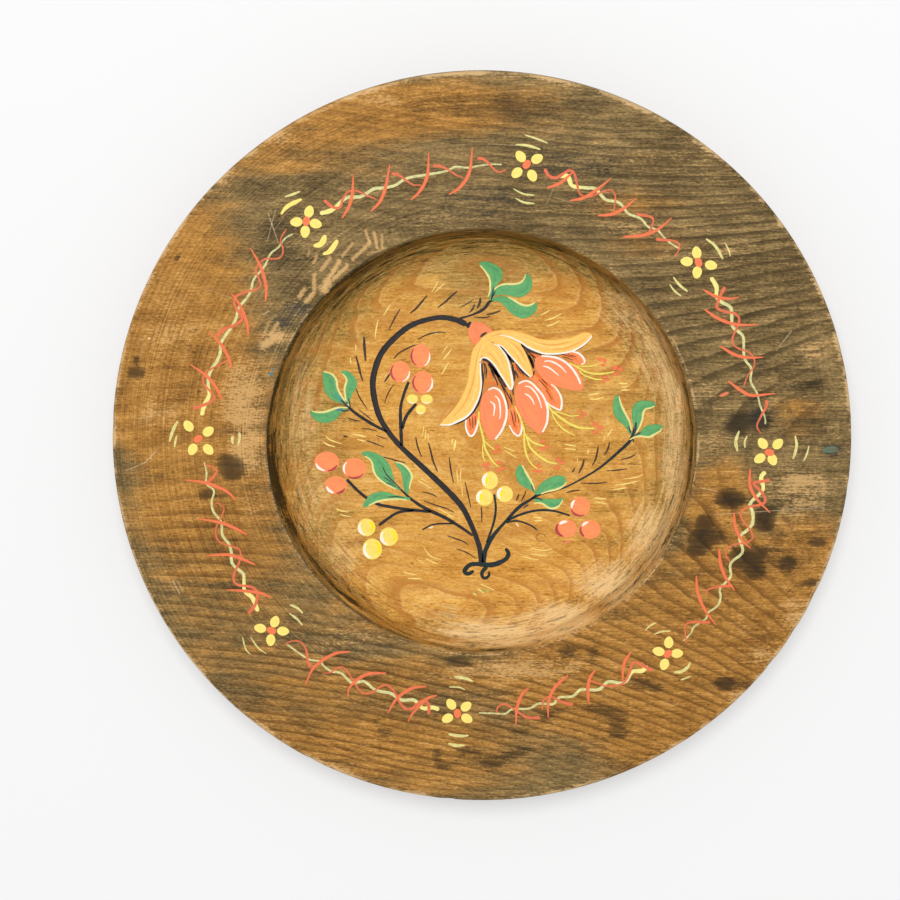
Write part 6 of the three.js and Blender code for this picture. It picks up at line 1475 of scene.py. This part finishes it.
ticks = [
    (0.4, (-13.4, 48.7), (-15.6, 45.1)), (0.4, (-11.3, 48.3), (-14.8, 45.1)),
    (0.4, (-28.2, 41.8), (-30.6, 37.9)), (0.5, (-32.1, 37), (-32.8, 33.8), (-33.2, 30.6)),
    (0.4, (-39.1, 29.1), (-39.2, 26.9)), (0.4, (-41, 25.2), (-40.6, 22.7)),
    (0.35, (-10.5, 28.6), (-12.4, 26.1)), (0.5, (-9.2, 27.7), (-12.3, 23.7)),
    (0.5, (-10.1, 23.6), (-12.6, 19.4)), (0.45, (21.5, 39.8), (18.2, 38.1)),
    (0.5, (25, 38.8), (22.3, 37.3), (19.4, 36.5)), (0.5, (24.4, 36.6), (22.3, 35.3), (20, 34.8)),
    (0.6, (42.6, 16.8), (45.8, 16.7)), (0.4, (43.4, 15.7), (45.9, 15.7)), (0.5, (43.4, 14.6), (46.6, 14.8)),
    (0.5, (33.2, 13.1), (37.2, 13.8)), (0.5, (33.7, 11.9), (35.9, 11.8), (38.4, 12.6)),
    (0.4, (41.1, 2.7), (39.3, -0.1)), (0.3, (38.6, 0.3), (38.2, -1.8)), (0.45, (25.9, -2.4), (29.8, -3.1)),
    (0.5, (25.9, -3.8), (29.8, -4.2)), (0.6, (33.6, -4), (33.2, -5.5)), (0.25, (30.1, -6.5), (30, -8.6)),
    (0.4, (50.8, -11.9), (48.2, -13), (44.3, -13.5)), (0.5, (49, -14.1), (45.9, -14.9), (41.5, -15.5)),
    (0.45, (45.9, -16.2), (40.9, -17)), (0.55, (35.4, -19.5), (39.6, -19.9)),
    (0.4, (35.5, -20.7), (39.6, -21.4)), (0.45, (16.1, -25.6), (19.4, -26.1)),
    (0.45, (16.4, -26.9), (19.4, -26.7)), (0.4, (15.4, -35.5), (18.2, -36.2), (20.7, -36.2), (22.6, -35.6)),
    (0.4, (15.4, -37.5), (20.9, -38.1)), (0.35, (12.4, -38.3), (18.3, -39.4)),
    (0.4, (-18.1, -35.5), (-16.7, -37.6), (-15.1, -38.7), (-12.4, -39.4)),
    (0.4, (-17.7, -39), (-13.4, -40.9)), (0.3, (-20.6, -38.9), (-17.8, -40.9)),
    (0.4, (-24.6, -43.3), (-20, -44.4)), (0.5, (-23.4, -45.3), (-18.5, -45.5)),
    (0.4, (-0.5, -47.1), (4.3, -49.2)), (0.4, (-1.4, -48.6), (1.1, -50.3)),
    (0.4, (-2.8, -50), (-1.4, -50.8)), (0.5, (-45.9, -22.9), (-44, -23.7), (-41.7, -24.1)),
    (0.4, (-44.9, -24.8), (-40.7, -25.7)), (0.5, (-48.9, 0.3), (-47.4, -1.1), (-43.6, -2.4)),
    (0.6, (-49.8, -1.6), (-48, -2.7), (-45.7, -3.3)), (0.6, (-40.4, 0.8), (-35.7, -0.2)),
    (0.5, (-39.1, -0.9), (-36, -1.6)), (0.35, (-18, 3.7), (-18.5, -0.2)),
    (0.4, (-17.4, 2.3), (-17.7, -1.3)), (0.3, (-16.7, 1.2), (-16.7, -1.6)),
    (0.5, (-8.9, -0.6), (-9.4, -2.9)), (0.8, (-8, -0.9), (-8.7, -4.7)),
    (0.45, (-7.8, -10.5), (-7.3, -14.9)), (0.4, (-6.4, -10.2), (-6.7, -14.4)),
    (0.3, (-6.2, -15.5), (-5.9, -19.7)), (0.4, (-20.1, -13.8), (-15.6, -16.6)),
    (0.25, (-19.2, -13.3), (-16.4, -14.7)), (0.4, (-13.7, -22.9), (-9.5, -25.1)),
    (0.45, (-10.9, -25.1), (-8.5, -25.5)), (0.4, (6.9, -3.3), (11.1, -4.9)),
    (0.4, (7.3, -4.5), (11.3, -6.9)),
]
# Small spots and slips of the brush: slot, paint and coat, then [x, y, half width, half height, lean].
strays = {
    "strayCream": (
        "cream_paint", "speck", 0.5,
        [(-15.8, -28.9, 0.9, 0.45, 10), (11.3, -28.1, 0.8, 0.3, -55), (-14.1, 32.7, 0.6, 0.4, 0),
         (-102, 32.6, 0.5, 0.4, 30)]),
    "strayCoral": (
        "coral_paint", "coralThin", 0.5,
        [(42.8, -8.7, 0.5, 0.4, 0), (27, -33.6, 1.4, 0.4, 30), (74.6, 15.3, 1.6, 0.5, 22)]),
    "strayGreen": (
        "leaf_paint", "smudgeGreen", 0.5,
        [(0.9, -49.3, 1.1, 0.4, 12), (-1.7, -49.8, 0.9, 0.25, 10), (17.5, 38.1, 1, 0.4, 20)]),
    "strayBlue": (
        "leaf_paint", "smudgeBlue", 0.5, [(-64.8, 21.6, 0.7, 0.5, 0), (-64.2, 22.9, 0.35, 0.5, 0)]),
    "leafBlue": (
        "leaf_paint", "smudgeBlue", 3.4, [(-44.5, 8.6, 1.1, 0.55, 15), (-43.8, 11.4, 0.7, 0.35, -50)]),
    "leafTeal": (
        "leaf_paint", "leafTeal", 3,
        [(-44.8, 12.6, 1.6, 0.75, -55), (3.3, 45, 1, 0.4, 70), (46.4, 2.4, 0.9, 0.3, 105)]),
    "strayTeal": (
        "leaf_paint", "smudgeTeal", 0.5, [(107.6, -1.9, 2.4, 1.1, 5), (17.5, -29.8, 0.5, 0.4, 0)]),
}
# The ring of a small knot in the well: its middle, half axes and the widths round it.
knot = {"middle": (18.7, -32.2), "axes": (1.5, 1.3), "widths": [0.35, 0.5, 0.4]}
turn = np.linspace(0, 2 * np.pi, 13)[:-1]
knotRing = np.stack([np.cos(turn), np.sin(turn)], axis=1) * knot["axes"] + knot["middle"]

layPaint("spines", thin(spines, "spine"))
layPaint("ticks", thin(ticks, "tick"))
for name, (slot, paint, coat, spots) in strays.items():
    layPaint(name, [dab(x, y, wide, tall, paint, coat, lean) for x, y, wide, tall, lean in spots])
layPaint("knotRing", [brushed(knotRing, knot["widths"], "knot", 0)])
print("spines and ticks painted")


# The floor and the light, in metres and watts
studio = {"floorSize": 6, "floorDrop": 0.00005, "floorTone": (243, 243, 243), "seenWhite": 0.975,
          "seenShare": 0.48, "background": 0.94, "sky": 0.62, "keyPlace": (-0.04, 0.46, 1.4),
          "keySize": 0.5, "keyPower": 13}


def makeFloor():
    # A level sheet whose edges lie far outside any view.
    half = studio["floorSize"]
    across = np.linspace(-half, half, 9)
    x, y = np.meshgrid(across, across)
    points = np.stack([x.ravel(), y.ravel(), np.full(x.size, -studio["floorDrop"])], axis=1)
    index = np.arange(x.size).reshape(x.shape)
    quads = np.stack([index[:-1, :-1], index[:-1, 1:], index[1:, 1:], index[1:, :-1]], axis=-1)
    mesh = bpy.data.meshes.new("floor")
    mesh.from_pydata(points.tolist(), [], quads.reshape(-1, 4).tolist())
    floor = bpy.data.objects.new("floor", mesh)
    bpy.context.scene.collection.objects.link(floor)
    sheet = Sheet(bpy.data.materials.new("paleFloor"))
    lit = sheet.add("ShaderNodeBsdfDiffuse", {}, {"Color": shade(studio["floorTone"])})
    white = sheet.add("ShaderNodeEmission", {}, {"Strength": studio["seenWhite"]})
    seen = sheet.add("ShaderNodeLightPath", output="Is Camera Ray") * studio["seenShare"]
    surface = sheet.add("ShaderNodeMixShader", {}, {0: seen, 1: lit, 2: white})
    sheet.add("ShaderNodeOutputMaterial", {}, {"Surface": surface})
    mesh.materials.append(sheet.owner)


def setLight():
    # A pale sky all round, white to the camera, and one soft lamp from the upper left.
    world = bpy.data.worlds.new("studio")
    bpy.context.scene.world = world
    sheet = Sheet(world)
    seen = sheet.add("ShaderNodeLightPath", output="Is Camera Ray")
    strengths = {0: seen, 2: studio["sky"], 3: studio["background"]}
    strength = sheet.add("ShaderNodeMix", {"data_type": "FLOAT"}, strengths)
    sky = sheet.add("ShaderNodeBackground", {}, {"Strength": strength})
    sheet.add("ShaderNodeOutputWorld", {}, {"Surface": sky})
    lamp = bpy.data.objects.new("softbox", bpy.data.lights.new("softbox", "AREA"))
    bpy.context.scene.collection.objects.link(lamp)
    lamp.data.shape, lamp.data.size, lamp.data.energy = "DISK", studio["keySize"], studio["keyPower"]
    place = Vector(studio["keyPlace"])
    lamp.matrix_world = Matrix.Translation(place) @ place.to_track_quat("Z", "Y").to_matrix().to_4x4()


makeFloor()
setLight()
bpy.context.scene.view_settings.view_transform = "Standard"
print("floor and light set")
